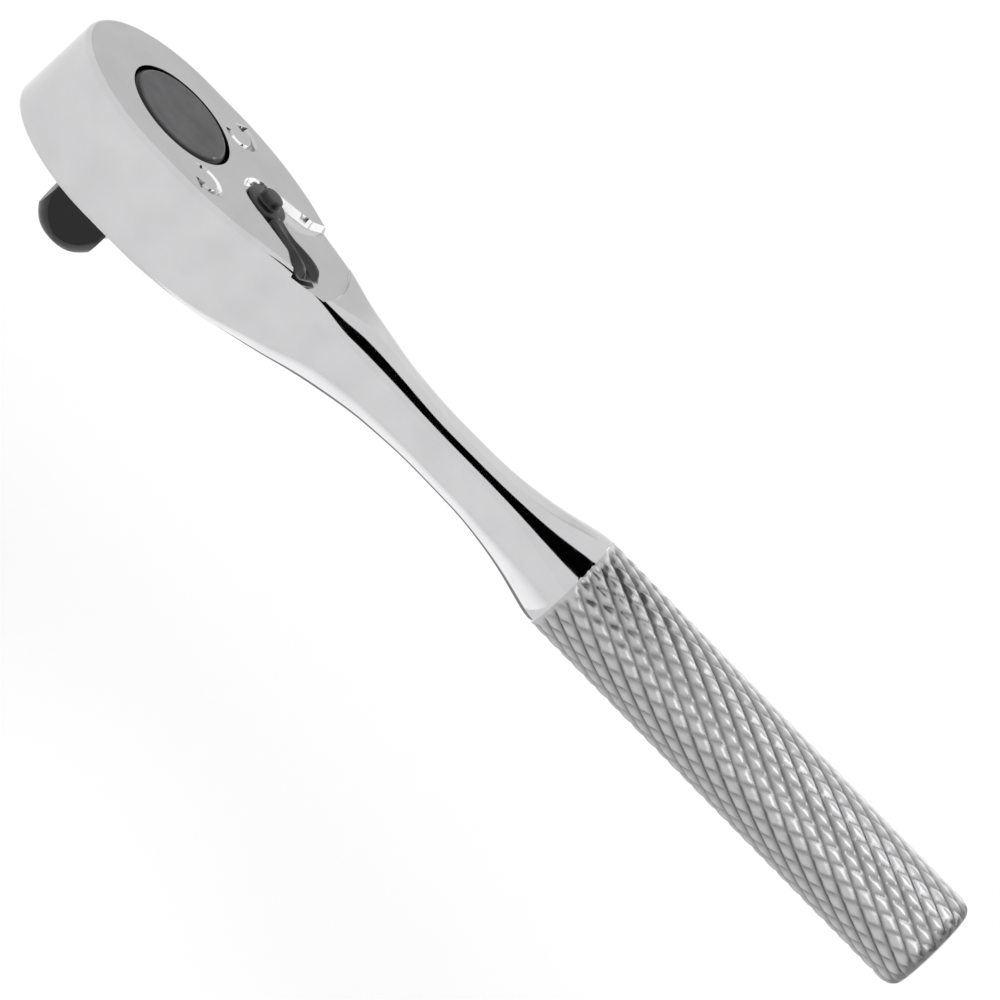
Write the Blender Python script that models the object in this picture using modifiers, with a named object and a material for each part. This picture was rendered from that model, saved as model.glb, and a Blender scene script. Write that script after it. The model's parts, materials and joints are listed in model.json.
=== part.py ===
"""Pear-head ratchet wrench, 3/8 inch square drive, with a reversing lever and a knurled round grip.

Frame: the origin is the centre of the drive square's end face.  +Z runs up the drive axis to the
lever side, and +X runs from the drive axis along the handle.  Every size is in metres.
"""
import math

import bmesh
import bpy
import numpy as np
from mathutils import Matrix, Vector

MM = 0.001

# ---- clearances -------------------------------------------------------------------------------
GAP = 0.3 * MM                  # between neighbouring pieces
TOOTH_GAP = 0.12 * MM           # between the gear teeth and the pawl teeth in mesh

# ---- forged body ------------------------------------------------------------------------------
SQUARE_LENGTH = 11.0 * MM       # drive square below the head
HEAD_THICKNESS = 14.4 * MM
HEAD_FRONT_WALL = 6.6 * MM      # forging in front of the gear chamber
HEAD_SIDE_WALL = 4.6 * MM       # forging beside the gear chamber
HEAD_EDGE = 0.9 * MM            # rounding of the head's edges
NECK_HALF_WIDTH = 3.75 * MM
NECK_HALF_HEIGHT = 4.25 * MM
NECK_EDGE = 2.45 * MM
GRIP_START = 82.4 * MM
GRIP_END = 153.2 * MM
GRIP_RADIUS = 7.85 * MM
GRIP_END_ROUND = 2.2 * MM

# ---- gear and drive square --------------------------------------------------------------------
SQUARE_SIDE = 9.525 * MM
SQUARE_EDGE = 0.7 * MM
NOSE_HEIGHT = 5.4 * MM          # turned nose of the square
NOSE_END_RADIUS = 3.0 * MM
NOSE_BULGE = 1.4                # 1 is a cone, 2 a quarter round
TOOTH_COUNT = 36
GEAR_RADIUS = 10.6 * MM         # over the tooth tips
TOOTH_DEPTH = 0.85 * MM
TOP_JOURNAL_RADIUS = 8.45 * MM
TOP_JOURNAL_BEVEL = 0.75 * MM
TOP_JOURNAL_STAND = 0.2 * MM    # gear's face proud of the head's top
LOW_JOURNAL_RADIUS = 7.9 * MM
TOP_WALL = 4.0 * MM             # forging above the gear chamber
JOURNAL_STAND = 0.2 * MM        # lower journal proud of the head's underside

# ---- cover ------------------------------------------------------------------------------------
PLATE_THICKNESS = 1.8 * MM
PLATE_SUNK = 0.1 * MM
PLATE_RIM = 1.6 * MM            # forging left around the cover plate
PLATE_CORNER = 1.0 * MM         # rounding of the plate's outline
PLATE_STRAIGHT = 4.0 * MM       # its sides run straight this far behind the drive axis
WASHER_THICKNESS = 0.5 * MM
WASHER_WIDTH = 1.4 * MM
SCREW_RADIUS = 1.2 * MM
SCREW_HEAD_RADIUS = 2.0 * MM
SCREW_WALL = 0.9 * MM           # forging between the front screw's hole and the gear chamber
SCREW_LENGTH = 7.6 * MM
SCREW_SOCKET_RADIUS = 0.8 * MM
SCREW_SOCKET_DEPTH = 0.8 * MM
SIDE_SCREW_WALL = 1.2 * MM      # forging between a side screw's hole and the jaw chamber
SIDE_SCREW_TURN = 35.8          # degrees each side of the handle

# ---- reversing lever --------------------------------------------------------------------------
LEVER_REST = -33.0              # degrees; the lever rests on the -Y side
LEVER_HUB_LIP = 0.5 * MM        # hub wider than the shaft
LEVER_HUB_THICKNESS = 1.1 * MM
LEVER_BOSS_RADIUS = 1.65 * MM
LEVER_BOSS_HEIGHT = 1.35 * MM
LEVER_LENGTH = 13.6 * MM
LEVER_NECK_RADIUS = 1.35 * MM
LEVER_TAIL_START = 7.4 * MM     # where the neck begins to widen
LEVER_TAIL_HALF_WIDTH = 2.8 * MM
LEVER_TAIL_RISE = 0.7 * MM
SHAFT_RADIUS = 2.8 * MM
RECESS_DEPTH = 1.4 * MM
RECESS_END_ROOM = 2.1 * MM      # between the lever's end and the recess's end step
RECESS_HUB_ROOM = 0.9 * MM      # around the lever's hub
CLIP_THICKNESS = 0.5 * MM
CLIP_WIDTH = 1.7 * MM
CLIP_OPENING = 70.0             # degrees
RING_RADIUS = 0.4 * MM          # O-ring section

# ---- pawl -------------------------------------------------------------------------------------
PAWL_ROCK = 6.0                 # degrees from one engaged side to the other
PAWL_JAW_THICKNESS = 2.3 * MM   # outside the gear
PAWL_SPAN = 64.0                # degrees each side
PAWL_TEETH_FROM = 38.0          # degrees each side
PAWL_RELIEF = 0.8 * MM          # between the gear and the pawl's middle
PAWL_HUB_WALL = 1.45 * MM
PAWL_HUB_ROOM = 0.5 * MM        # between the gear and the pawl's hub
NOTCH_DEPTH = 1.05 * MM
NOTCH_SPAN = 56.0               # degrees each side of the handle direction
PLUNGER_RADIUS = 0.9 * MM
PLUNGER_REACH = 0.75 * MM       # nose beyond the pawl bore
PLUNGER_LENGTH = 3.1 * MM
PLUNGER_BORE_BACK = 1.9 * MM    # blind end of the bore behind the lever axis

# ---- detent -----------------------------------------------------------------------------------
BALL_RADIUS = 1.5 * MM
BALL_STAND = 0.75 * MM          # proud of the drive square
BALL_HEIGHT = 5.6 * MM
BALL_SEAT_BACK = 1.5 * MM       # blind end of the ball's hole beyond the drive axis
SPRING_WIRE = 0.13 * MM         # radius of the spring wire

SEGMENTS = 48

# ---- places worked out from the sizes above -----------------------------------------------------
CHAMBER_RADIUS = GEAR_RADIUS + GAP
HEAD_FRONT = CHAMBER_RADIUS + HEAD_FRONT_WALL
HEAD_HALF_WIDTH = CHAMBER_RADIUS + HEAD_SIDE_WALL
HEAD_BOTTOM = SQUARE_LENGTH
HEAD_TOP = HEAD_BOTTOM + HEAD_THICKNESS
MIDDLE = HEAD_BOTTOM + HEAD_THICKNESS / 2
CHAMBER_TOP = HEAD_TOP - TOP_WALL
PLATE_BOTTOM = HEAD_BOTTOM + PLATE_SUNK
PLATE_TOP = PLATE_BOTTOM + PLATE_THICKNESS
CHAMBER_BOTTOM = PLATE_TOP + GAP
WASHER_TOP = CHAMBER_BOTTOM + WASHER_THICKNESS
GEAR_BOTTOM = WASHER_TOP + GAP
GEAR_TOP = CHAMBER_TOP - GAP
JOURNAL_TOP = HEAD_TOP + TOP_JOURNAL_STAND
JOURNAL_BOTTOM = HEAD_BOTTOM - JOURNAL_STAND
RECESS_FLOOR = HEAD_TOP - RECESS_DEPTH
HUB_BOTTOM = RECESS_FLOOR + GAP
HUB_TOP = HUB_BOTTOM + LEVER_HUB_THICKNESS
PAWL_BORE = SHAFT_RADIUS + GAP
NOTCH_RADIUS = PAWL_BORE + NOTCH_DEPTH
PAWL_HUB_RADIUS = NOTCH_RADIUS + PAWL_HUB_WALL
PAWL_OUTER_RADIUS = GEAR_RADIUS + PAWL_JAW_THICKNESS
POCKET_RADIUS = PAWL_HUB_RADIUS + GAP
LEVER_X = GEAR_RADIUS + PAWL_HUB_ROOM + PAWL_HUB_RADIUS     # lever and pawl axis
LEVER_HUB_RADIUS = SHAFT_RADIUS + LEVER_HUB_LIP
RECESS_HUB_RADIUS = LEVER_HUB_RADIUS + RECESS_HUB_ROOM
RECESS_REACH = LEVER_LENGTH + RECESS_END_ROOM
RECESS_WALL = (
    (LEVER_X + 4.1 * MM, LEVER_NECK_RADIUS + 4.45 * MM),
    (LEVER_X + 6.3 * MM, LEVER_NECK_RADIUS + 5.25 * MM),
    (LEVER_X + 7.4 * MM, LEVER_NECK_RADIUS + 6.45 * MM),
    (LEVER_X + 9.5 * MM, LEVER_NECK_RADIUS + 9.55 * MM),
)
CLIP_TOP = CHAMBER_TOP - GAP
CLIP_BOTTOM = CLIP_TOP - CLIP_THICKNESS
PAWL_TOP = CLIP_BOTTOM - GAP
PAWL_BOTTOM = CHAMBER_BOTTOM + GAP
SHAFT_BOTTOM = PLATE_TOP + 2 * GAP
PLUNGER_Z = (PAWL_TOP + PAWL_BOTTOM) / 2
RING_Z = (RECESS_FLOOR + CHAMBER_TOP) / 2
FRONT_SCREW_X = -(CHAMBER_RADIUS + SCREW_WALL + SCREW_RADIUS + GAP)

# Sections of the forging behind the head: distance along the handle, half width, half height and
# edge rounding.
HEAD_HALF_HEIGHT = HEAD_THICKNESS / 2
SECTIONS = (
    (0.0, HEAD_HALF_WIDTH, HEAD_HALF_HEIGHT, HEAD_EDGE),
    (LEVER_X - 9.7 * MM, HEAD_HALF_WIDTH, HEAD_HALF_HEIGHT, HEAD_EDGE),
    (LEVER_X - 3.2 * MM, HEAD_HALF_WIDTH - 0.9 * MM, HEAD_HALF_HEIGHT, HEAD_EDGE),
    (LEVER_X + 3.3 * MM, HEAD_HALF_WIDTH - 3.2 * MM, HEAD_HALF_HEIGHT, HEAD_EDGE),
    (LEVER_X + 7.8 * MM, HEAD_HALF_WIDTH - 5.4 * MM, HEAD_HALF_HEIGHT - 0.25 * MM, HEAD_EDGE),
    (LEVER_X + 13.3 * MM, HEAD_HALF_WIDTH - 7.5 * MM, HEAD_HALF_HEIGHT - 0.75 * MM, 1.1 * MM),
    (LEVER_X + 17.3 * MM, 7.0 * MM, HEAD_HALF_HEIGHT - 0.95 * MM, 2.9 * MM),
    (LEVER_X + 20.8 * MM, 5.9 * MM, HEAD_HALF_HEIGHT - 1.05 * MM, 4.0 * MM),
    (LEVER_X + 25.3 * MM, 4.8 * MM, 5.65 * MM, 3.65 * MM),
    (LEVER_X + 30.3 * MM, 4.0 * MM, 4.95 * MM, 3.1 * MM),
    (LEVER_X + 39.3 * MM, NECK_HALF_WIDTH, NECK_HALF_HEIGHT, NECK_EDGE),
    (GRIP_START - 17.9 * MM, NECK_HALF_WIDTH + 0.1 * MM, NECK_HALF_HEIGHT + 0.1 * MM, NECK_EDGE + 0.1 * MM),
    (GRIP_START - 11.9 * MM, GRIP_RADIUS - 3.25 * MM, GRIP_RADIUS - 2.9 * MM, GRIP_RADIUS - 4.45 * MM),
    (GRIP_START - 7.4 * MM, GRIP_RADIUS - 2.15 * MM, GRIP_RADIUS - 2.05 * MM, GRIP_RADIUS - 3.15 * MM),
    (GRIP_START - 3.4 * MM, GRIP_RADIUS - 0.9 * MM, GRIP_RADIUS - 0.85 * MM, GRIP_RADIUS - 1.25 * MM),
    (GRIP_START, GRIP_RADIUS, GRIP_RADIUS, GRIP_RADIUS),
)


# ---- scene helpers ----------------------------------------------------------------------------
def clear_scene():
    for old in list(bpy.data.objects):
        bpy.data.objects.remove(old, do_unlink=True)


def new_collection(name):
    group = bpy.data.collections.new(name)
    bpy.context.scene.collection.children.link(group)
    return group


def material(name, colour, roughness, metallic=1.0):
    made = bpy.data.materials.new(name)
    made.use_nodes = True
    shader = made.node_tree.nodes["Principled BSDF"]
    shader.inputs["Base Color"].default_value = (*colour, 1.0)
    shader.inputs["Roughness"].default_value = roughness
    shader.inputs["Metallic"].default_value = metallic
    return made


def finish_mesh(bm, name, group):
    """Turn a bmesh into an object of the given collection, with outward faces."""
    bmesh.ops.recalc_face_normals(bm, faces=bm.faces)
    mesh = bpy.data.meshes.new(name)
    bm.to_mesh(mesh)
    bm.free()
    made = bpy.data.objects.new(name, mesh)
    group.objects.link(made)
    if group is CUTTERS:
        made.hide_render = True
        made.display_type = "WIRE"
    return made


def shade(target, paint, angle=35.0):
    target.data.materials.append(paint)
    target.data.shade_smooth()
    target.data.set_sharp_from_angle(angle=math.radians(angle))


def combine(target, other, operation="DIFFERENCE"):
    """Cut, join or intersect the target with another object."""
    step = target.modifiers.new(operation.lower() + "_" + other.name, "BOOLEAN")
    step.operation = operation
    step.object = other
    step.solver = "EXACT"


def cylinder(name, radius, bottom, top, centre=(0.0, 0.0), segments=SEGMENTS, group=None):
    bm = bmesh.new()
    bmesh.ops.create_cone(bm, cap_ends=True, segments=segments, radius1=radius, radius2=radius,
                          depth=top - bottom,
                          matrix=Matrix.Translation((*centre, (top + bottom) / 2)))
    return finish_mesh(bm, name, group or CUTTERS)


def turned(name, profile, segments=SEGMENTS, group=None):
    """A profile of (radius, height) points, from the top down its outer side, turned about Z."""
    bm = bmesh.new()
    points = [bm.verts.new((radius, 0.0, height)) for radius, height in profile]
    for first, second in zip(points, points[1:]):
        bm.edges.new((first, second))
    mesh = bpy.data.meshes.new(name)
    bm.to_mesh(mesh)
    bm.free()
    made = bpy.data.objects.new(name, mesh)
    (group or CUTTERS).objects.link(made)
    made.hide_render = (group or CUTTERS) is CUTTERS
    if made.hide_render:
        made.display_type = "WIRE"
    screw = made.modifiers.new("turn", "SCREW")
    screw.steps = segments
    screw.render_steps = segments
    screw.use_merge_vertices = True
    screw.merge_threshold = 0.00001
    return made


def hull_prism(name, circles, bottom, top, segments=24, group=None):
    """The prism around circles given as (x, y, radius)."""
    bm = bmesh.new()
    for x, y, radius in circles:
        for level in (bottom, top):
            for k in range(segments):
                turn = 2 * math.pi * k / segments
                bm.verts.new((x + radius * math.cos(turn), y + radius * math.sin(turn), level))
    hull = bmesh.ops.convex_hull(bm, input=bm.verts)
    inner = [item for item in hull["geom_interior"] if isinstance(item, bmesh.types.BMVert)]
    bmesh.ops.delete(bm, geom=inner, context="VERTS")
    bmesh.ops.dissolve_limit(bm, angle_limit=0.001, verts=bm.verts, edges=bm.edges)
    return finish_mesh(bm, name, group or CUTTERS)


def outline_prism(name, outline, bottom, top, group=None):
    """The prism of a flat outline of (x, y) points."""
    bm = bmesh.new()
    face = bm.faces.new([bm.verts.new((x, y, bottom)) for x, y in outline])
    lifted = bmesh.ops.extrude_face_region(bm, geom=[face])
    raised = [item for item in lifted["geom"] if isinstance(item, bmesh.types.BMVert)]
    bmesh.ops.translate(bm, verts=raised, vec=(0.0, 0.0, top - bottom))
    return finish_mesh(bm, name, group or CUTTERS)


def arc(radius, start, end, count, centre=(0.0, 0.0)):
    """Points on an arc; angles in degrees."""
    points = []
    for k in range(count + 1):
        turn = math.radians(start + (end - start) * k / count)
        points.append((centre[0] + radius * math.cos(turn), centre[1] + radius * math.sin(turn)))
    return points


def about_lever(degrees):
    """The turn about the lever axis that the given angle stands for."""
    centre = Matrix.Translation((LEVER_X, 0.0, 0.0))
    return centre @ Matrix.Rotation(math.radians(degrees), 4, "Z") @ centre.inverted()


def smooth_section(distance):
    """Half width, half height and edge rounding at a distance along the handle."""
    keys = np.array(SECTIONS)
    span = int(np.clip(np.searchsorted(keys[:, 0], distance) - 1, 0, len(keys) - 2))
    rise = np.diff(keys[:, 1:], axis=0) / np.diff(keys[:, 0])[:, None]
    slopes = np.zeros((len(keys), 3))
    before, after = rise[:-1], rise[1:]
    steady = before * after > 0
    sums = np.where(steady, before + after, 1.0)
    slopes[1:-1] = np.where(steady, 2 * before * after / sums, 0.0)
    width = keys[span + 1, 0] - keys[span, 0]
    part = min(max((distance - keys[span, 0]) / width, 0.0), 1.0)
    start, end = keys[span, 1:], keys[span + 1, 1:]
    blend = part * part * (3 - 2 * part)
    lead = part * (1 - part) ** 2 * width
    trail = part * part * (part - 1) * width
    return start + (end - start) * blend + slopes[span] * lead + slopes[span + 1] * trail


# ---- forged body ------------------------------------------------------------------------------
def half_profile(half_width, half_height, edge, steps=4):
    """From the top middle over the rounded edges to the bottom middle, as (outward, height)."""
    flat = half_width - edge
    points = [(0.0, half_height)]
    for x, z in arc(edge, 90.0, 0.0, steps, (flat, half_height - edge)):
        points.append((x, z))
    for x, z in arc(edge, 0.0, -90.0, steps, (flat, edge - half_height)):
        points.append((x, z))
    points.append((0.0, -half_height))
    return points


def forging_rings():
    """Rings of the forging's +Y half, from the front of the head to the end of the grip."""
    rings = []
    head = SECTIONS[0]
    fan_steps = 12
    for k in range(fan_steps):
        turn = math.radians(180.0 - 90.0 * k / fan_steps)
        edge_x, edge_y = HEAD_FRONT * math.cos(turn), HEAD_HALF_WIDTH * math.sin(turn)
        reach = math.hypot(edge_x, edge_y)
        profile = half_profile(reach, head[2], head[3])
        rings.append([Vector((d * edge_x / reach, d * edge_y / reach, MIDDLE + z)) for d, z in profile])
    shank_steps = 34
    for k in range(shank_steps + 1):
        x = GRIP_START * k / shank_steps
        rings.append([Vector((x, d, MIDDLE + z)) for d, z in half_profile(*smooth_section(x))])
    for inward, back in arc(GRIP_END_ROUND, 90.0, 0.0, 4):
        radius = GRIP_RADIUS - GRIP_END_ROUND + back
        x = GRIP_END - GRIP_END_ROUND + inward
        rings.append([Vector((x, d, MIDDLE + z)) for d, z in half_profile(radius, radius, radius)])
    return rings


def make_body(paint):
    rings = forging_rings()
    bm = bmesh.new()
    grid = [[bm.verts.new(point) for point in ring] for ring in rings]
    for ring, following in zip(grid, grid[1:]):
        for k in range(len(ring) - 1):
            bm.faces.new((ring[k], following[k], following[k + 1], ring[k + 1]))
    bm.faces.new(grid[-1])
    bmesh.ops.remove_doubles(bm, verts=bm.verts, dist=0.005 * MM)
    body = finish_mesh(bm, "body", PARTS)
    mirror = body.modifiers.new("other_half", "MIRROR")
    mirror.use_axis = (False, True, False)
    mirror.merge_threshold = 0.00001

    combine(body, cylinder("journal_bore", TOP_JOURNAL_RADIUS + GAP, CHAMBER_TOP - GAP, HEAD_TOP + MM,
                           segments=64))
    combine(body, cylinder("gear_chamber", CHAMBER_RADIUS, PLATE_TOP, CHAMBER_TOP, segments=64))
    combine(body, jaw_chamber())
    combine(body, cylinder("pawl_pocket", POCKET_RADIUS, PLATE_TOP, CHAMBER_TOP, (LEVER_X, 0.0)))
    combine(body, cylinder("lever_bore", SHAFT_RADIUS + GAP, CHAMBER_TOP - MM, HEAD_TOP + MM,
                           (LEVER_X, 0.0), 32))
    combine(body, hull_prism("plate_seat", plate_circles(GAP), HEAD_BOTTOM - MM, CHAMBER_BOTTOM, 32))
    combine(body, lever_recess())
    for number, (x, y) in enumerate(SCREW_PLACES):
        hole_top = PLATE_BOTTOM + SCREW_LENGTH + GAP
        combine(body, cylinder(f"screw_hole_{number}", SCREW_RADIUS + GAP, HEAD_BOTTOM, hole_top,
                               (x, y), 20))
    shade(body, paint)
    return body


def jaw_chamber():
    """Room for the pawl's jaws as they rock."""
    span = PAWL_SPAN + PAWL_ROCK / 2
    outline = arc(jaw_chamber_reach(), -span, span, 24) + arc(GEAR_RADIUS - MM, span, -span, 12)
    return outline_prism("jaw_chamber", outline, PLATE_TOP, CHAMBER_TOP)


def jaw_chamber_reach():
    """Radius that the jaws' back corners need at the ends of their rock."""
    turn = math.radians(PAWL_SPAN)
    corner = Vector((PAWL_OUTER_RADIUS * math.cos(turn), PAWL_OUTER_RADIUS * math.sin(turn), 0.0))
    return (about_lever(-PAWL_ROCK / 2) @ corner).length + GAP


def lever_recess():
    """The sunk sector that the lever sweeps, open to both flanks of the head."""
    flare = HEAD_HALF_WIDTH + MM
    outline = arc(RECESS_HUB_RADIUS, 100.0, 260.0, 16, (LEVER_X, 0.0))
    outline += [(x, -y) for x, y in RECESS_WALL]
    outline.append((RECESS_WALL[-1][0], -flare))
    outline += arc(RECESS_REACH, -50.0, 50.0, 24, (LEVER_X, 0.0))
    outline.append((RECESS_WALL[-1][0], flare))
    outline += list(reversed(RECESS_WALL))
    return outline_prism("lever_recess", outline, RECESS_FLOOR, HEAD_TOP + MM)


# ---- cover plate, screws and washer -----------------------------------------------------------
def plate_circles(extra):
    """Circles whose hull is the cover plate's outline, grown by the extra width."""
    circles = []
    for k in range(17):
        turn = math.radians(90.0 + 180.0 * k / 16)
        x = (HEAD_FRONT - PLATE_RIM) * math.cos(turn)
        y = (HEAD_HALF_WIDTH - PLATE_RIM) * math.sin(turn)
        shrink = 1.0 - PLATE_CORNER / math.hypot(x, y)
        circles.append((x * shrink, y * shrink, PLATE_CORNER + extra))
    side_screw_x, side_screw_y = side_screw_place()
    for side in (-1, 1):
        circles.append((PLATE_STRAIGHT, side * (HEAD_HALF_WIDTH - PLATE_RIM - PLATE_CORNER),
                        PLATE_CORNER + extra))
        circles.append((side_screw_x, side * side_screw_y, SCREW_HEAD_RADIUS + MM + extra))
    circles.append((LEVER_X, 0.0, POCKET_RADIUS + MM + extra))
    return circles


def side_screw_place():
    reach = jaw_chamber_reach() + SIDE_SCREW_WALL + SCREW_RADIUS + GAP
    turn = math.radians(SIDE_SCREW_TURN)
    return reach * math.cos(turn), reach * math.sin(turn)


def screw_cutter(number, place):
    """Countersunk clearance hole for one cover screw."""
    x, y = place
    hole, head = SCREW_RADIUS + GAP, SCREW_HEAD_RADIUS + GAP
    face = PLATE_BOTTOM + 0.2 * MM
    sink = turned(f"countersink_{number}", (
        (0.0, PLATE_TOP + MM),
        (hole, PLATE_TOP + MM),
        (hole, face + head - hole),
        (head, face),
        (head, PLATE_BOTTOM - MM),
        (0.0, PLATE_BOTTOM - MM)), 20)
    sink.location = (x, y, 0.0)
    return sink


def make_cover_plate(paint):
    plate = hull_prism("cover_plate", plate_circles(0.0), PLATE_BOTTOM, PLATE_TOP, 32, PARTS)
    combine(plate, cylinder("plate_bore", LOW_JOURNAL_RADIUS + GAP, PLATE_BOTTOM - MM, PLATE_TOP + MM))
    for number, place in enumerate(SCREW_PLACES):
        combine(plate, screw_cutter(number, place))
    shade(plate, paint)


def make_screw(name, place, paint):
    x, y = place
    face = PLATE_BOTTOM + 0.25 * MM
    end = PLATE_BOTTOM + SCREW_LENGTH
    screw = turned(name, (
        (0.0, end),
        (SCREW_RADIUS - 0.3 * MM, end),
        (SCREW_RADIUS, end - 0.3 * MM),
        (SCREW_RADIUS, face + SCREW_HEAD_RADIUS - SCREW_RADIUS + 0.15 * MM),
        (SCREW_HEAD_RADIUS, face + 0.15 * MM),
        (SCREW_HEAD_RADIUS, face),
        (0.0, face)), 20, PARTS)
    screw.location = (x, y, 0.0)
    socket = cylinder(name + "_socket", SCREW_SOCKET_RADIUS, face - MM, face + SCREW_SOCKET_DEPTH,
                      (x, y), 6)
    combine(screw, socket)
    shade(screw, paint)


def make_friction_washer(paint):
    inner = LOW_JOURNAL_RADIUS + GAP
    washer = turned("friction_washer", (
        (inner, CHAMBER_BOTTOM),
        (inner, WASHER_TOP),
        (inner + WASHER_WIDTH, WASHER_TOP),
        (inner + WASHER_WIDTH, CHAMBER_BOTTOM),
        (inner, CHAMBER_BOTTOM)), group=PARTS)
    shade(washer, paint)


# ---- gear and drive square --------------------------------------------------------------------
def tooth_ring(name, grow, bottom, top, group=None):
    """V teeth: every other corner of a prism drawn in to the tooth roots."""
    corners = 2 * TOOTH_COUNT
    bm = bmesh.new()
    bmesh.ops.create_cone(bm, cap_ends=True, segments=corners, radius1=1.0, radius2=1.0,
                          depth=top - bottom, matrix=Matrix.Translation((0.0, 0.0, (top + bottom) / 2)))
    for corner in bm.verts:
        place = round(math.degrees(math.atan2(corner.co.y, corner.co.x)) / (360.0 / corners))
        depth = TOOTH_DEPTH if place % 2 else 0.0
        radius = GEAR_RADIUS + grow - depth
        corner.co.x *= radius
        corner.co.y *= radius
    return finish_mesh(bm, name, group or CUTTERS)


def make_drive_gear(paint):
    gear = tooth_ring("drive_gear", 0.0, GEAR_BOTTOM, GEAR_TOP, PARTS)
    inside = (GEAR_BOTTOM + GEAR_TOP) / 2
    core = turned("gear_core", (
        (0.0, JOURNAL_TOP),
        (TOP_JOURNAL_RADIUS - TOP_JOURNAL_BEVEL, JOURNAL_TOP),
        (TOP_JOURNAL_RADIUS, JOURNAL_TOP - TOP_JOURNAL_BEVEL),
        (TOP_JOURNAL_RADIUS, inside),
        (LOW_JOURNAL_RADIUS, inside - MM),
        (LOW_JOURNAL_RADIUS, JOURNAL_BOTTOM + 0.3 * MM),
        (LOW_JOURNAL_RADIUS - 0.3 * MM, JOURNAL_BOTTOM),
        (0.0, JOURNAL_BOTTOM)), 64)
    combine(gear, core, "UNION")
    combine(gear, drive_square(), "UNION")
    combine(gear, ball_hole())
    shade(gear, paint)


def drive_square():
    """The square with rounded corners, trimmed by the turned nose."""
    half = SQUARE_SIDE / 2 - SQUARE_EDGE
    corners = [(sx * half, sy * half, SQUARE_EDGE) for sx in (-1, 1) for sy in (-1, 1)]
    square = hull_prism("square", corners, 0.0, HEAD_BOTTOM + MM, 16)
    shoulder = SQUARE_SIDE / math.sqrt(2) + MM
    corner_reach = SQUARE_SIDE / math.sqrt(2) - (math.sqrt(2) - 1) * SQUARE_EDGE
    profile = [(0.0, HEAD_BOTTOM + 2 * MM), (shoulder, HEAD_BOTTOM + 2 * MM), (shoulder, NOSE_HEIGHT + MM),
               (corner_reach + 0.05 * MM, NOSE_HEIGHT)]
    steps = 6
    for k in range(1, steps + 1):
        turn = math.radians(90.0 * k / steps)
        outward, drop = math.cos(turn) ** (2 / NOSE_BULGE), math.sin(turn) ** (2 / NOSE_BULGE)
        radius = NOSE_END_RADIUS + (corner_reach - NOSE_END_RADIUS) * outward
        profile.append((radius, NOSE_HEIGHT * (1 - drop)))
    profile.append((0.0, 0.0))
    combine(square, turned("nose", profile, 40), "INTERSECT")
    return square


def ball_hole():
    """Blind hole across the drive square for the ball and its spring."""
    length = SQUARE_SIDE / 2 + BALL_SEAT_BACK + MM
    hole = cylinder("ball_hole", BALL_RADIUS + GAP, -BALL_SEAT_BACK, length - BALL_SEAT_BACK, segments=24)
    hole.rotation_euler = (0.0, math.radians(90.0), 0.0)
    hole.location = (0.0, 0.0, BALL_HEIGHT)
    return hole


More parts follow.
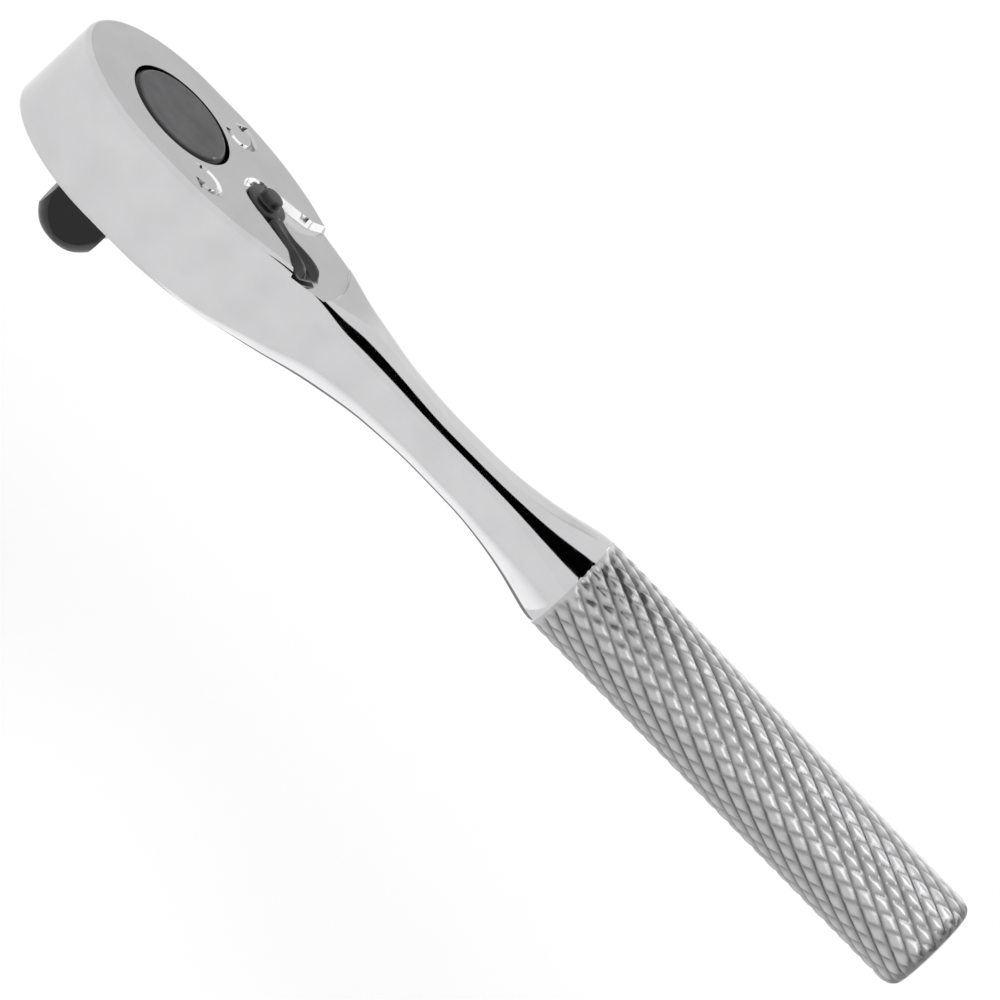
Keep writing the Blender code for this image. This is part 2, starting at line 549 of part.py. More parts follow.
# ---- reversing lever --------------------------------------------------------------------------
def make_reverse_lever(paint):
    """Hub, boss, tail and shaft, made along +X from the lever axis and turned to rest."""
    tail_end = LEVER_LENGTH - MM
    tail_y = LEVER_TAIL_HALF_WIDTH - MM
    lever = turned("reverse_lever", (
        (0.0, HUB_TOP + LEVER_BOSS_HEIGHT),
        (LEVER_BOSS_RADIUS - 0.3 * MM, HUB_TOP + LEVER_BOSS_HEIGHT),
        (LEVER_BOSS_RADIUS, HUB_TOP + LEVER_BOSS_HEIGHT - 0.3 * MM),
        (LEVER_BOSS_RADIUS, HUB_TOP),
        (LEVER_HUB_RADIUS - 0.2 * MM, HUB_TOP),
        (LEVER_HUB_RADIUS, HUB_TOP - 0.2 * MM),
        (LEVER_HUB_RADIUS, HUB_BOTTOM),
        (SHAFT_RADIUS, HUB_BOTTOM),
        (SHAFT_RADIUS, RING_Z + RING_RADIUS + GAP),
        (SHAFT_RADIUS - RING_RADIUS * 2 - GAP, RING_Z + RING_RADIUS + GAP),
        (SHAFT_RADIUS - RING_RADIUS * 2 - GAP, RING_Z - RING_RADIUS - GAP),
        (SHAFT_RADIUS, RING_Z - RING_RADIUS - GAP),
        (SHAFT_RADIUS, CLIP_TOP + GAP / 2),
        (SHAFT_RADIUS - 2 * GAP, CLIP_TOP + GAP / 2),
        (SHAFT_RADIUS - 2 * GAP, CLIP_BOTTOM - GAP / 2),
        (SHAFT_RADIUS, CLIP_BOTTOM - GAP / 2),
        (SHAFT_RADIUS, SHAFT_BOTTOM + 0.3 * MM),
        (SHAFT_RADIUS - 0.3 * MM, SHAFT_BOTTOM),
        (0.0, SHAFT_BOTTOM)), 32, PARTS)
    neck = hull_prism("lever_neck", (
        (LEVER_HUB_RADIUS * 0.5, 0.0, LEVER_NECK_RADIUS),
        (LEVER_TAIL_START + MM, 0.0, LEVER_NECK_RADIUS)), HUB_BOTTOM + 0.1 * MM, HUB_TOP - 0.1 * MM)
    combine(lever, neck, "UNION")
    tail = hull_prism("lever_tail", (
        (LEVER_TAIL_START, 0.0, LEVER_NECK_RADIUS),
        (tail_end, tail_y, MM),
        (tail_end, -tail_y, MM)), HUB_BOTTOM + 0.15 * MM, HUB_TOP - 0.05 * MM)
    combine(lever, tail, "UNION")
    rib = hull_prism("lever_rib", (
        (LEVER_TAIL_START + MM, 0.0, LEVER_NECK_RADIUS * 0.8),
        (tail_end, tail_y * 0.8, 0.8 * MM),
        (tail_end, -tail_y * 0.8, 0.8 * MM)), HUB_TOP - 0.4 * MM, HUB_TOP + LEVER_TAIL_RISE)
    combine(lever, rib, "UNION")
    bore = cylinder("plunger_bore", PLUNGER_RADIUS + GAP, -PLUNGER_BORE_BACK, SHAFT_RADIUS + MM, segments=20)
    bore.rotation_euler = (0.0, math.radians(90.0), 0.0)
    bore.location = (0.0, 0.0, PLUNGER_Z)
    combine(lever, bore)
    for cutter in (neck, tail, rib, bore):
        cutter.parent = lever
    lever.location = (LEVER_X, 0.0, 0.0)
    lever.rotation_euler = (0.0, 0.0, math.radians(LEVER_REST))
    shade(lever, paint)


def make_lever_clip(paint):
    """Open retaining ring in the shaft's groove, under the forging."""
    inner, outer = SHAFT_RADIUS - GAP, SHAFT_RADIUS + CLIP_WIDTH - GAP
    start = LEVER_REST + 180.0 + CLIP_OPENING / 2
    end = start + 360.0 - CLIP_OPENING
    outline = arc(outer, start, end, 28, (LEVER_X, 0.0)) + arc(inner, end, start, 28, (LEVER_X, 0.0))
    clip = outline_prism("lever_clip", outline, CLIP_BOTTOM, CLIP_TOP, PARTS)
    shade(clip, paint)


def make_lever_ring(paint):
    """Rubber O-ring around the shaft, in the forging's bore."""
    middle = SHAFT_RADIUS - RING_RADIUS + GAP / 3
    bpy.ops.mesh.primitive_torus_add(major_segments=24, minor_segments=8, major_radius=middle,
                                     minor_radius=RING_RADIUS, location=(LEVER_X, 0.0, RING_Z))
    ring = bpy.context.object
    ring.name = "lever_o_ring"
    for holder in list(ring.users_collection):
        holder.objects.unlink(ring)
    PARTS.objects.link(ring)
    shade(ring, paint)


# ---- pawl, plunger and springs ----------------------------------------------------------------
def make_pawl(paint):
    """Two toothed jaws on a hub about the lever axis, drawn in the middle of their rock."""
    teeth, span = PAWL_TEETH_FROM, PAWL_SPAN
    root = GEAR_RADIUS - TOOTH_DEPTH + TOOTH_GAP
    outline = arc(PAWL_OUTER_RADIUS, -span, span, 28)
    outline += arc(root, span, teeth, 4)
    outline += arc(GEAR_RADIUS + PAWL_RELIEF, teeth, -teeth, 14)
    outline += arc(root, -teeth, -span, 4)
    pawl = outline_prism("pawl", outline, PAWL_BOTTOM, PAWL_TOP, PARTS)
    combine(pawl, cylinder("pawl_hub", PAWL_HUB_RADIUS, PAWL_BOTTOM, PAWL_TOP, (LEVER_X, 0.0)), "UNION")
    combine(pawl, cylinder("pawl_bore", PAWL_BORE, PAWL_BOTTOM - MM, PAWL_TOP + MM, (LEVER_X, 0.0), 32))
    notch = [(LEVER_X, 0.0)] + arc(NOTCH_RADIUS, -NOTCH_SPAN, NOTCH_SPAN, 16, (LEVER_X, 0.0))
    combine(pawl, outline_prism("notch", notch, PAWL_BOTTOM - MM, PAWL_TOP + MM))
    for side, name in ((1, "teeth_left"), (-1, "teeth_right")):
        mesh_cut = tooth_ring(name, TOOTH_GAP, PAWL_BOTTOM - MM, PAWL_TOP + MM)
        mesh_cut.matrix_world = about_lever(-side * PAWL_ROCK / 2)
        combine(pawl, mesh_cut)
    for step in pawl.modifiers:
        step.object.matrix_world = about_lever(PAWL_ROCK / 2) @ step.object.matrix_world
    pawl.matrix_world = about_lever(PAWL_ROCK / 2)
    shade(pawl, paint)


def make_plunger(paint):
    """Round-nosed pin in the shaft's cross bore."""
    nose = PAWL_BORE + PLUNGER_REACH
    profile = []
    for x, z in arc(PLUNGER_RADIUS, 90.0, 0.0, 5):
        profile.append((x, nose - PLUNGER_RADIUS + z))
    profile.append((PLUNGER_RADIUS, nose - PLUNGER_LENGTH))
    profile.append((0.0, nose - PLUNGER_LENGTH))
    plunger = turned("pawl_plunger", profile, 20, PARTS)
    place_across(plunger, LEVER_REST, (LEVER_X, 0.0, PLUNGER_Z))
    shade(plunger, paint)


def place_across(target, degrees, place):
    """Lay a piece made along +Z down along the given direction in the XY plane."""
    target.rotation_mode = "XYZ"
    target.rotation_euler = (0.0, math.radians(90.0), math.radians(degrees))
    target.location = place


def coil(name, radius, start, end, turns, paint, degrees, place):
    """Compression spring along its own Z, then laid across."""
    curve = bpy.data.curves.new(name, "CURVE")
    curve.dimensions = "3D"
    curve.bevel_depth = SPRING_WIRE
    curve.bevel_resolution = 2
    curve.use_fill_caps = True
    spline = curve.splines.new("POLY")
    per_turn = 8
    count = turns * per_turn + 1
    spline.points.add(count - 1)
    for k in range(count):
        turn = 2 * math.pi * k / per_turn
        z = start + (end - start) * k / (count - 1)
        spline.points[k].co = (radius * math.cos(turn), radius * math.sin(turn), z, 1.0)
    made = bpy.data.objects.new(name, curve)
    PARTS.objects.link(made)
    place_across(made, degrees, place)
    curve.materials.append(paint)


def make_plunger_spring(paint):
    back = -PLUNGER_BORE_BACK + SPRING_WIRE + GAP / 2
    front = PAWL_BORE + PLUNGER_REACH - PLUNGER_LENGTH - SPRING_WIRE - GAP / 2
    coil("plunger_spring", PLUNGER_RADIUS - SPRING_WIRE, back, front, 4, paint, LEVER_REST,
         (LEVER_X, 0.0, PLUNGER_Z))


def ball_centre():
    return SQUARE_SIDE / 2 + BALL_STAND - BALL_RADIUS


def make_detent_ball(paint):
    bm = bmesh.new()
    bmesh.ops.create_uvsphere(bm, u_segments=16, v_segments=10, radius=BALL_RADIUS)
    ball = finish_mesh(bm, "detent_ball", PARTS)
    ball.location = (ball_centre(), 0.0, BALL_HEIGHT)
    shade(ball, paint)


def make_detent_spring(paint):
    back = -BALL_SEAT_BACK + SPRING_WIRE + GAP / 2
    front = ball_centre() - BALL_RADIUS - SPRING_WIRE - GAP / 2
    coil("detent_spring", BALL_RADIUS - 2 * SPRING_WIRE, back, front, 4, paint, 0.0,
         (0.0, 0.0, BALL_HEIGHT))


# ---- assembly ---------------------------------------------------------------------------------
clear_scene()
PARTS = new_collection("ratchet_wrench")
CUTTERS = new_collection("cutters")
SIDE_X, SIDE_Y = side_screw_place()
SCREW_PLACES = ((FRONT_SCREW_X, 0.0), (SIDE_X, SIDE_Y), (SIDE_X, -SIDE_Y))
SCREW_NAMES = ("cover_screw_front", "cover_screw_left", "cover_screw_right")

CHROME = material("chrome", (0.62, 0.61, 0.62), 0.12)
BLACK_OXIDE = material("black_oxide_steel", (0.045, 0.044, 0.046), 0.4)
DARK_GEAR = material("drive_steel", (0.12, 0.118, 0.12), 0.35)
BRIGHT_STEEL = material("bright_steel", (0.55, 0.55, 0.56), 0.25)
SPRING_STEEL = material("spring_steel", (0.3, 0.3, 0.32), 0.3)
RUBBER = material("rubber", (0.02, 0.02, 0.02), 0.7, 0.0)

make_body(CHROME)
make_drive_gear(DARK_GEAR)
make_cover_plate(BLACK_OXIDE)
for screw_name, screw_place in zip(SCREW_NAMES, SCREW_PLACES):
    make_screw(screw_name, screw_place, BLACK_OXIDE)
make_friction_washer(SPRING_STEEL)
make_reverse_lever(BLACK_OXIDE)
make_lever_clip(SPRING_STEEL)
make_lever_ring(RUBBER)
make_pawl(BRIGHT_STEEL)
make_plunger(BRIGHT_STEEL)
make_plunger_spring(SPRING_STEEL)
make_detent_ball(BRIGHT_STEEL)
make_detent_spring(SPRING_STEEL)
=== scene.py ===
import json
import math

import bmesh
import bpy
import numpy as np
from mathutils import Matrix, Vector


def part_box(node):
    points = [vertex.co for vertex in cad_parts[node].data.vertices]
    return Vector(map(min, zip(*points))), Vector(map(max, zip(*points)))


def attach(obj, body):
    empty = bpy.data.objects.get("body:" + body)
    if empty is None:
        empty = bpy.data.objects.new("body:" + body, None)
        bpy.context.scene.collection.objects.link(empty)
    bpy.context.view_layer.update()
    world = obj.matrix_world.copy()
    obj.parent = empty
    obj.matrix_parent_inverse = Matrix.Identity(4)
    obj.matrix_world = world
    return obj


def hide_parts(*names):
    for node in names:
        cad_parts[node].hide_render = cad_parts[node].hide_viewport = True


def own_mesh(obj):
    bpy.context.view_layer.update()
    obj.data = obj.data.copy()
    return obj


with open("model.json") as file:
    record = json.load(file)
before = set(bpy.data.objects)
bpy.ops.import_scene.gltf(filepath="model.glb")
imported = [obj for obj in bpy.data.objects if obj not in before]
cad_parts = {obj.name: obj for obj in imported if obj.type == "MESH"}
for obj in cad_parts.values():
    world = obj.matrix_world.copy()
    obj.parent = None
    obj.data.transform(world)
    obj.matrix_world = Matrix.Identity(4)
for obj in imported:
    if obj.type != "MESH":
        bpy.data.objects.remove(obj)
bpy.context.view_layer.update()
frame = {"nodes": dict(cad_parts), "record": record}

MM = 0.001

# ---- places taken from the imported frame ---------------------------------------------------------
BODY_LOW, BODY_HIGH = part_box("body")
LEVER_LOW, LEVER_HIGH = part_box("reverse_lever")
PLATE_LOW, PLATE_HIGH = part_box("cover_plate")
GEAR_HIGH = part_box("drive_gear")[1]
JOINT_PLACES = {joint["name"]: joint.get("pos_m") for joint in frame["record"]["behaviour"]["joints"]}
LEVER_X = JOINT_PLACES["lever_swing"][0]
LEVER_REST = -33.0                         # degrees from the handle's line
HEAD_FRONT = -BODY_LOW.x
HEAD_HALF_WIDTH = BODY_HIGH.y
HEAD_TOP = GEAR_HIGH.z - 0.2 * MM          # the drive's disc stands 0.2 mm out of the head
HEAD_BOTTOM = PLATE_LOW.z - 0.1 * MM       # the cover plate lies 0.1 mm under flush
MIDDLE = (HEAD_BOTTOM + HEAD_TOP) / 2
HEAD_HALF_HEIGHT = (HEAD_TOP - HEAD_BOTTOM) / 2
GRIP_END = BODY_HIGH.x
GRIP_START = GRIP_END - 70.8 * MM
GRIP_RADIUS = 7.85 * MM
GRIP_END_ROUND = 2.2 * MM
HEAD_EDGE = 0.9 * MM
GAP = 0.3 * MM                             # clearance between neighbouring pieces

TOP_JOURNAL_RADIUS = 8.45 * MM
TOP_JOURNAL_BEVEL = 0.75 * MM
LOW_JOURNAL_RADIUS = 7.9 * MM
GEAR_RADIUS = 10.6 * MM
TOOTH_DEPTH = 0.85 * MM
TOOTH_COUNT = 36
GEAR_BOTTOM = HEAD_BOTTOM + 3.0 * MM
GEAR_TOP = HEAD_TOP - 4.3 * MM
CHAMBER_TOP = GEAR_TOP + GAP
CHAMBER_BOTTOM = PLATE_HIGH.z + GAP
CHAMBER_RADIUS = GEAR_RADIUS + GAP
SQUARE_HALF = 4.7625 * MM
SQUARE_EDGE = 0.7 * MM
NOSE_HEIGHT = 5.4 * MM
NOSE_END_RADIUS = 3.0 * MM
NOSE_BULGE = 1.4
BALL_RADIUS = 1.5 * MM
BALL_HEIGHT = 5.6 * MM
BALL_HOLE_START = -1.5 * MM                # bottom of the ball's hole, past the drive axis
SPRING_WIRE = 0.13 * MM                    # radius

SHAFT_RADIUS = 2.8 * MM
SHAFT_CHAMFER = 0.3 * MM
O_RING_GROOVE_HALF = 0.7 * MM
PLUNGER_BORE_RADIUS = 1.2 * MM
PLUNGER_BORE_DEPTH = 1.9 * MM              # behind the lever's axis
LEVER_HUB_RADIUS = 3.3 * MM
LEVER_HUB_HEIGHT = 1.1 * MM
LEVER_BOSS_RADIUS = 1.7 * MM
RECESS_FLOOR = HEAD_TOP - 1.4 * MM
RECESS_HUB_RADIUS = 4.2 * MM
RECESS_REACH = 16.2 * MM
RECESS_END_RADIUS = 20.0 * MM
RECESS_WALL_LENGTH = 9.4 * MM              # walls with a painted highlight, along the handle from the lever's axis
RECESS_WALL_REACH = 9.2 * MM               # and across it
POCKET_RADIUS = 5.9 * MM
JAW_REACH = 13.9 * MM
JAW_SPAN = 67.0                            # degrees each way

SCREW_NAMES = ("cover_screw_front", "cover_screw_left", "cover_screw_right")
SCREW_RADIUS = 1.2 * MM
SCREW_HEAD_RADIUS = 2.0 * MM
SCREW_HOLE_RADIUS = 1.5 * MM
SCREW_SINK_RADIUS = 2.3 * MM
SCREW_HEAD_HEIGHT = 1.0 * MM
THREAD_PITCH = 0.6 * MM
THREAD_DEPTH = 0.18 * MM
HEX_RADIUS = 0.8 * MM
HEX_DEPTH = 0.8 * MM

KNURL_STARTS = 20
KNURL_PITCH = 4.7 * MM                     # along the grip
KNURL_DEPTH = 0.5 * MM
CROSS_DEPTH = 0.86                         # the second cut's depth as a part of the first's
KNURL_STEPS = 12                           # mesh steps in one pitch
KNURL_MARGIN = 0.3 * MM                    # plain chrome at each end of the grip
CORNER_STEPS = KNURL_STARTS * KNURL_STEPS // 4
SPLIT_X = 36.0 * MM                        # the head's mesh meets the shank's mesh here
HEAD_WELD, SEAM_WELD = 2e-6, 3e-6          # distances under which vertices become one
NO_LENGTH = 1e-7                           # edges shorter than this are dissolved

# Sections of the forging: distance along the handle, half width, top and bottom from the middle,
# and the rounding of the upper and of the lower edges.
HALF = HEAD_HALF_HEIGHT
SECTIONS = np.array((
    (0.0, HEAD_HALF_WIDTH, HALF, HALF, HEAD_EDGE, HEAD_EDGE),
    (LEVER_X - 9.7 * MM, HEAD_HALF_WIDTH, HALF, HALF, HEAD_EDGE, HEAD_EDGE),
    (LEVER_X - 3.2 * MM, HEAD_HALF_WIDTH - 0.9 * MM, HALF, HALF, HEAD_EDGE, 1.1 * MM),
    (LEVER_X + 3.3 * MM, HEAD_HALF_WIDTH - 3.2 * MM, HALF, HALF, HEAD_EDGE, 1.2 * MM),
    (LEVER_X + 7.8 * MM, HEAD_HALF_WIDTH - 5.4 * MM,
     HALF - 0.25 * MM, HALF - 0.05 * MM, HEAD_EDGE, 1.7 * MM),
    (LEVER_X + 13.3 * MM, HEAD_HALF_WIDTH - 7.5 * MM,
     HALF - 0.95 * MM, HALF - 0.2 * MM, HEAD_EDGE, 2.8 * MM),
    (LEVER_X + 17.3 * MM, 7.0 * MM, HALF - 1.1 * MM, HALF - 0.7 * MM, 2.2 * MM, 3.6 * MM),
    (LEVER_X + 20.8 * MM, 5.9 * MM, HALF - 1.15 * MM, HALF - 0.95 * MM, 3.7 * MM, 4.2 * MM),
    (LEVER_X + 25.3 * MM, 4.8 * MM, 5.65 * MM, 5.65 * MM, 3.65 * MM, 3.9 * MM),
    (LEVER_X + 30.3 * MM, 4.0 * MM, 4.95 * MM, 4.95 * MM, 3.1 * MM, 3.3 * MM),
    (LEVER_X + 39.3 * MM, 3.75 * MM, 4.25 * MM, 4.25 * MM, 2.45 * MM, 2.6 * MM),
    (GRIP_START - 17.9 * MM, 3.85 * MM, 4.35 * MM, 4.35 * MM, 2.55 * MM, 2.7 * MM),
    (GRIP_START - 11.9 * MM, 4.6 * MM, 4.95 * MM, 4.95 * MM, 3.4 * MM, 3.5 * MM),
    (GRIP_START - 7.4 * MM, 5.7 * MM, 5.8 * MM, 5.8 * MM, 4.7 * MM, 4.8 * MM),
    (GRIP_START - 3.4 * MM, 6.95 * MM, 7.0 * MM, 7.0 * MM, 6.6 * MM, 6.6 * MM),
    (GRIP_START,) + (GRIP_RADIUS,) * 5,
))


# ---- helpers ------------------------------------------------------------------------------------
def link(name, data):
    made = bpy.data.objects.new(name, data)
    bpy.context.scene.collection.objects.link(made)
    return made


def mesh_object(name, bm):
    bmesh.ops.recalc_face_normals(bm, faces=bm.faces)
    mesh = bpy.data.meshes.new(name)
    bm.to_mesh(mesh)
    bm.free()
    return link(name, mesh)


def evaluated_mesh(source):
    view = bpy.context.evaluated_depsgraph_get()
    return bpy.data.meshes.new_from_object(source.evaluated_get(view), depsgraph=view)


def boolean(target, other, operation="DIFFERENCE"):
    """Cut or join, then drop the other object."""
    step = target.modifiers.new("step", "BOOLEAN")
    step.operation = operation
    step.object = other
    step.solver = "EXACT"
    mesh = evaluated_mesh(target)
    target.modifiers.clear()
    target.data = mesh
    bpy.data.objects.remove(other, do_unlink=True)


def turned(name, profile, segments=96, centre=(0.0, 0.0)):
    """Closed solid of revolution about a vertical axis; the profile runs from the axis to the axis."""
    bm = bmesh.new()
    rings = []
    for radius, height in profile:
        if radius < NO_LENGTH:
            rings.append([bm.verts.new((centre[0], centre[1], height))])
            continue
        ring = []
        for k in range(segments):
            turn = 2 * math.pi * k / segments
            ring.append(bm.verts.new((centre[0] + radius * math.cos(turn),
                                      centre[1] + radius * math.sin(turn), height)))
        rings.append(ring)
    for one, two in zip(rings, rings[1:]):
        for k in range(segments):
            corners = [one[k % len(one)], one[(k + 1) % len(one)],
                       two[(k + 1) % len(two)], two[k % len(two)]]
            unique = list(dict.fromkeys(corners))
            if len(unique) > 2:
                bm.faces.new(unique)
    return mesh_object(name, bm)


def cylinder(name, radius, bottom, top, segments, centre=(0.0, 0.0)):
    return turned(name, ((0.0, top), (radius, top), (radius, bottom), (0.0, bottom)), segments, centre)


def cross_bore(name, radius, start, end, segments, height):
    """Cutter along X at a height, from one distance to another."""
    bore = cylinder(name, radius, start, end, segments)
    bore.matrix_world = Matrix.Translation((0.0, 0.0, height)) @ Matrix.Rotation(math.pi / 2, 4, "Y")
    return bore


def hull_prism(name, circles, bottom, top, segments):
    """Upright prism around circles given as (x, y, radius)."""
    bm = bmesh.new()
    for x, y, radius in circles:
        for level in (bottom, top):
            for k in range(segments):
                turn = 2 * math.pi * k / segments
                bm.verts.new((x + radius * math.cos(turn), y + radius * math.sin(turn), level))
    hull = bmesh.ops.convex_hull(bm, input=bm.verts)
    inner = [item for item in hull["geom_interior"] if isinstance(item, bmesh.types.BMVert)]
    bmesh.ops.delete(bm, geom=inner, context="VERTS")
    bmesh.ops.dissolve_limit(bm, angle_limit=0.001, verts=bm.verts, edges=bm.edges)
    return mesh_object(name, bm)


def stacked(name, outline, levels):
    """Solid through copies of one outline; levels are (height, how far the outline is grown)."""
    points = np.array(outline)
    ahead, behind = np.roll(points, -1, axis=0), np.roll(points, 1, axis=0)
    along = ahead - behind
    along /= np.linalg.norm(along, axis=1)[:, None]
    area = np.sum(points[:, 0] * ahead[:, 1] - ahead[:, 0] * points[:, 1])
    outward = np.stack((along[:, 1], -along[:, 0]), axis=1) * np.sign(area)
    bm = bmesh.new()
    rings = []
    for height, grow in levels:
        rings.append([bm.verts.new((x, y, height)) for x, y in points + outward * grow])
    count = len(points)
    for one, two in zip(rings, rings[1:]):
        for k in range(count):
            bm.faces.new((one[k], one[(k + 1) % count], two[(k + 1) % count], two[k]))
    bm.faces.new(rings[0])
    bm.faces.new(rings[-1])
    return mesh_object(name, bm)


def arc(radius, start, end, count, centre=(0.0, 0.0)):
    """Points on a circle between two angles in degrees."""
    points = []
    for k in range(count + 1):
        turn = math.radians(start + (end - start) * k / count)
        points.append((centre[0] + radius * math.cos(turn), centre[1] + radius * math.sin(turn)))
    return points


def rounded(points, radius, steps=5):
    """Round the corners of a turned profile given as (radius, height) points."""
    made = [points[0]]
    for before, corner, after in zip(points, points[1:], points[2:]):
        a, b, c = (np.array(p, float) for p in (before, corner, after))
        reach = min(radius, np.linalg.norm(a - b) / 2.01, np.linalg.norm(c - b) / 2.01)
        start = b + (a - b) / np.linalg.norm(a - b) * reach
        end = b + (c - b) / np.linalg.norm(c - b) * reach
        for k in range(steps + 1):
            t = k / steps
            made.append(tuple((1 - t) ** 2 * start + 2 * t * (1 - t) * b + t * t * end))
    made.append(points[-1])
    return made


def smooth(target, degrees=35.0):
    target.data.shade_smooth()
    target.data.set_sharp_from_angle(angle=math.radians(degrees))
    keep = target.modifiers.new("even_normals", "WEIGHTED_NORMAL")
    keep.keep_sharp = True
    keep.weight = 80


def soften_edges(target, width, degrees=40.0):
    step = target.modifiers.new("edges", "BEVEL")
    step.width = width
    step.segments = 2
    step.limit_method = "ANGLE"
    step.angle_limit = math.radians(degrees)
    step.use_clamp_overlap = True


def finish_piece(target, body, slot, paint, *nodes):
    target.data.materials.clear()
    target.data.materials.append(paint)
    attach(target, body)
    if nodes:
        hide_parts(*nodes)


# ---- materials ----------------------------------------------------------------------------------
def new_material(name):
    paint = bpy.data.materials.new(name)
    paint.use_nodes = True
    tree = paint.node_tree
    return paint, tree, tree.nodes["Principled BSDF"]


def object_place(tree):
    return tree.nodes.new("ShaderNodeTexCoord").outputs["Object"]


def split_axes(tree, place):
    split = tree.nodes.new("ShaderNodeSeparateXYZ")
    tree.links.new(place, split.inputs[0])
    return split.outputs


def calculate(tree, operation, *values):
    """Math node; each value is a socket or a number."""
    made = tree.nodes.new("ShaderNodeMath")
    made.operation = operation
    for socket, value in zip(made.inputs, values):
        if isinstance(value, float):
            socket.default_value = value
        else:
            tree.links.new(value, socket)
    return made.outputs[0]


def radius_of(tree, across, up):
    """Distance from an axis, from the two coordinates square to it."""
    flat = tree.nodes.new("ShaderNodeCombineXYZ")
    tree.links.new(across, flat.inputs["X"])
    tree.links.new(up, flat.inputs["Y"])
    length = tree.nodes.new("ShaderNodeVectorMath")
    length.operation = "LENGTH"
    tree.links.new(flat.outputs[0], length.inputs[0])
    return length.outputs["Value"]


def noise(tree, vector, scale, detail=3.0):
    made = tree.nodes.new("ShaderNodeTexNoise")
    made.inputs["Scale"].default_value = scale
    made.inputs["Detail"].default_value = detail
    tree.links.new(vector, made.inputs["Vector"])
    return made.outputs["Fac"]


def spread(tree, value, low, high, from_low=0.3, from_high=0.7):
    """Map a value's range to another; the default range is that of most noise."""
    made = tree.nodes.new("ShaderNodeMapRange")
    made.inputs["From Min"].default_value = from_low
    made.inputs["From Max"].default_value = from_high
    made.inputs["To Min"].default_value = low
    made.inputs["To Max"].default_value = high
    tree.links.new(value, made.inputs["Value"])
    return made.outputs["Result"]


def blend_colours(tree, factor, one, two):
    """Mix of two colours, each a socket or a tuple."""
    made = tree.nodes.new("ShaderNodeMix")
    made.data_type = "RGBA"
    for socket, colour in ((6, one), (7, two)):
        if isinstance(colour, tuple):
            made.inputs[socket].default_value = (*colour, 1.0)
        else:
            tree.links.new(colour, made.inputs[socket])
    tree.links.new(factor, made.inputs[0])
    return made.outputs[2]


def add_relief(tree, height, strength, depth):
    """Bump on top of the relief that the material already has."""
    normal = tree.nodes["Principled BSDF"].inputs["Normal"]
    bump = tree.nodes.new("ShaderNodeBump")
    bump.inputs["Strength"].default_value = strength
    bump.inputs["Distance"].default_value = depth
    tree.links.new(height, bump.inputs["Height"])
    if normal.is_linked:
        tree.links.new(normal.links[0].from_socket, bump.inputs["Normal"])
    tree.links.new(bump.outputs["Normal"], normal)


def steel(name, dark, light, rough_low, rough_high, grain, grain_depth, stretch=(1.0, 1.0, 1.0),
          metallic=1.0, wear=None, painted_shade_depth=0.0):
    """Metal whose colour, roughness and fine relief all vary.

    wear is the colour of rubbed edges, and the last argument is how far painted shade darkens the hollows.
    """
    paint, tree, shader = new_material(name)
    mapping = tree.nodes.new("ShaderNodeMapping")
    mapping.inputs["Scale"].default_value = stretch
    tree.links.new(object_place(tree), mapping.inputs["Vector"])
    place = mapping.outputs["Vector"]
    colour = blend_colours(tree, spread(tree, noise(tree, place, 180.0), 0.0, 1.0), dark, light)
    if wear:
        edge = tree.nodes.new("ShaderNodeNewGeometry").outputs["Pointiness"]
        rub = spread(tree, edge, 0.0, 1.0, 0.53, 0.60)
        patches = spread(tree, noise(tree, place, 700.0), 0.2, 1.0)
        colour = blend_colours(tree, calculate(tree, "MULTIPLY", rub, patches), colour, wear)
    # Painted shade: hollows darkened by ambient occlusion, not a colour of the metal.
    if painted_shade_depth:
        shadow = tree.nodes.new("ShaderNodeAmbientOcclusion")
        shadow.samples = 4
        shadow.inputs["Distance"].default_value = 1.2 * MM
        painted_shade_factor = spread(tree, shadow.outputs["AO"], painted_shade_depth, 0.0, 0.25, 0.85)
        colour = blend_colours(tree, painted_shade_factor, colour, tuple(channel * 0.3 for channel in dark))
    tree.links.new(colour, shader.inputs["Base Color"])
    tree.links.new(spread(tree, noise(tree, place, 420.0, 5.0), rough_low, rough_high),
                   shader.inputs["Roughness"])
    shader.inputs["Metallic"].default_value = metallic
    add_relief(tree, noise(tree, place, grain, 4.0), 0.5, grain_depth)
    return paint


def turned_marks(paint, spacing, depth):
    """Fine rings about the drive axis, as a lathe leaves them, on top of the grain."""
    tree = paint.node_tree
    axes = split_axes(tree, object_place(tree))
    wave = calculate(tree, "MULTIPLY", radius_of(tree, axes["X"], axes["Y"]), 2 * math.pi / spacing)
    add_relief(tree, calculate(tree, "SINE", wave), 0.4, depth)


def paint_shade_below(paint, level, depth, colour):
    """Darker below a level: painted shade on the bevel round the disc's rim, and the drive square darker
    than the disc's face above it.
    """
    tree = paint.node_tree
    base = tree.nodes["Principled BSDF"].inputs["Base Color"]
    height = split_axes(tree, object_place(tree))["Z"]
    factor = spread(tree, height, 1.0, 0.0, level - depth, level)
    tree.links.new(blend_colours(tree, factor, base.links[0].from_socket, colour), base)


def paint_groove_shade(paint, crest, valley_shade):
    """Painted shade in the knurl's grooves: the colour follows the distance from the handle's axis, darker
    deeper in.
    """
    tree = paint.node_tree
    axes = split_axes(tree, object_place(tree))
    radius = radius_of(tree, axes["Y"], calculate(tree, "SUBTRACT", axes["Z"], MIDDLE))
    factor = spread(tree, radius, 0.0, 1.0, GRIP_RADIUS - KNURL_DEPTH, GRIP_RADIUS - 0.04 * MM)
    tree.links.new(blend_colours(tree, factor, valley_shade, crest),
                   tree.nodes["Principled BSDF"].inputs["Base Color"])
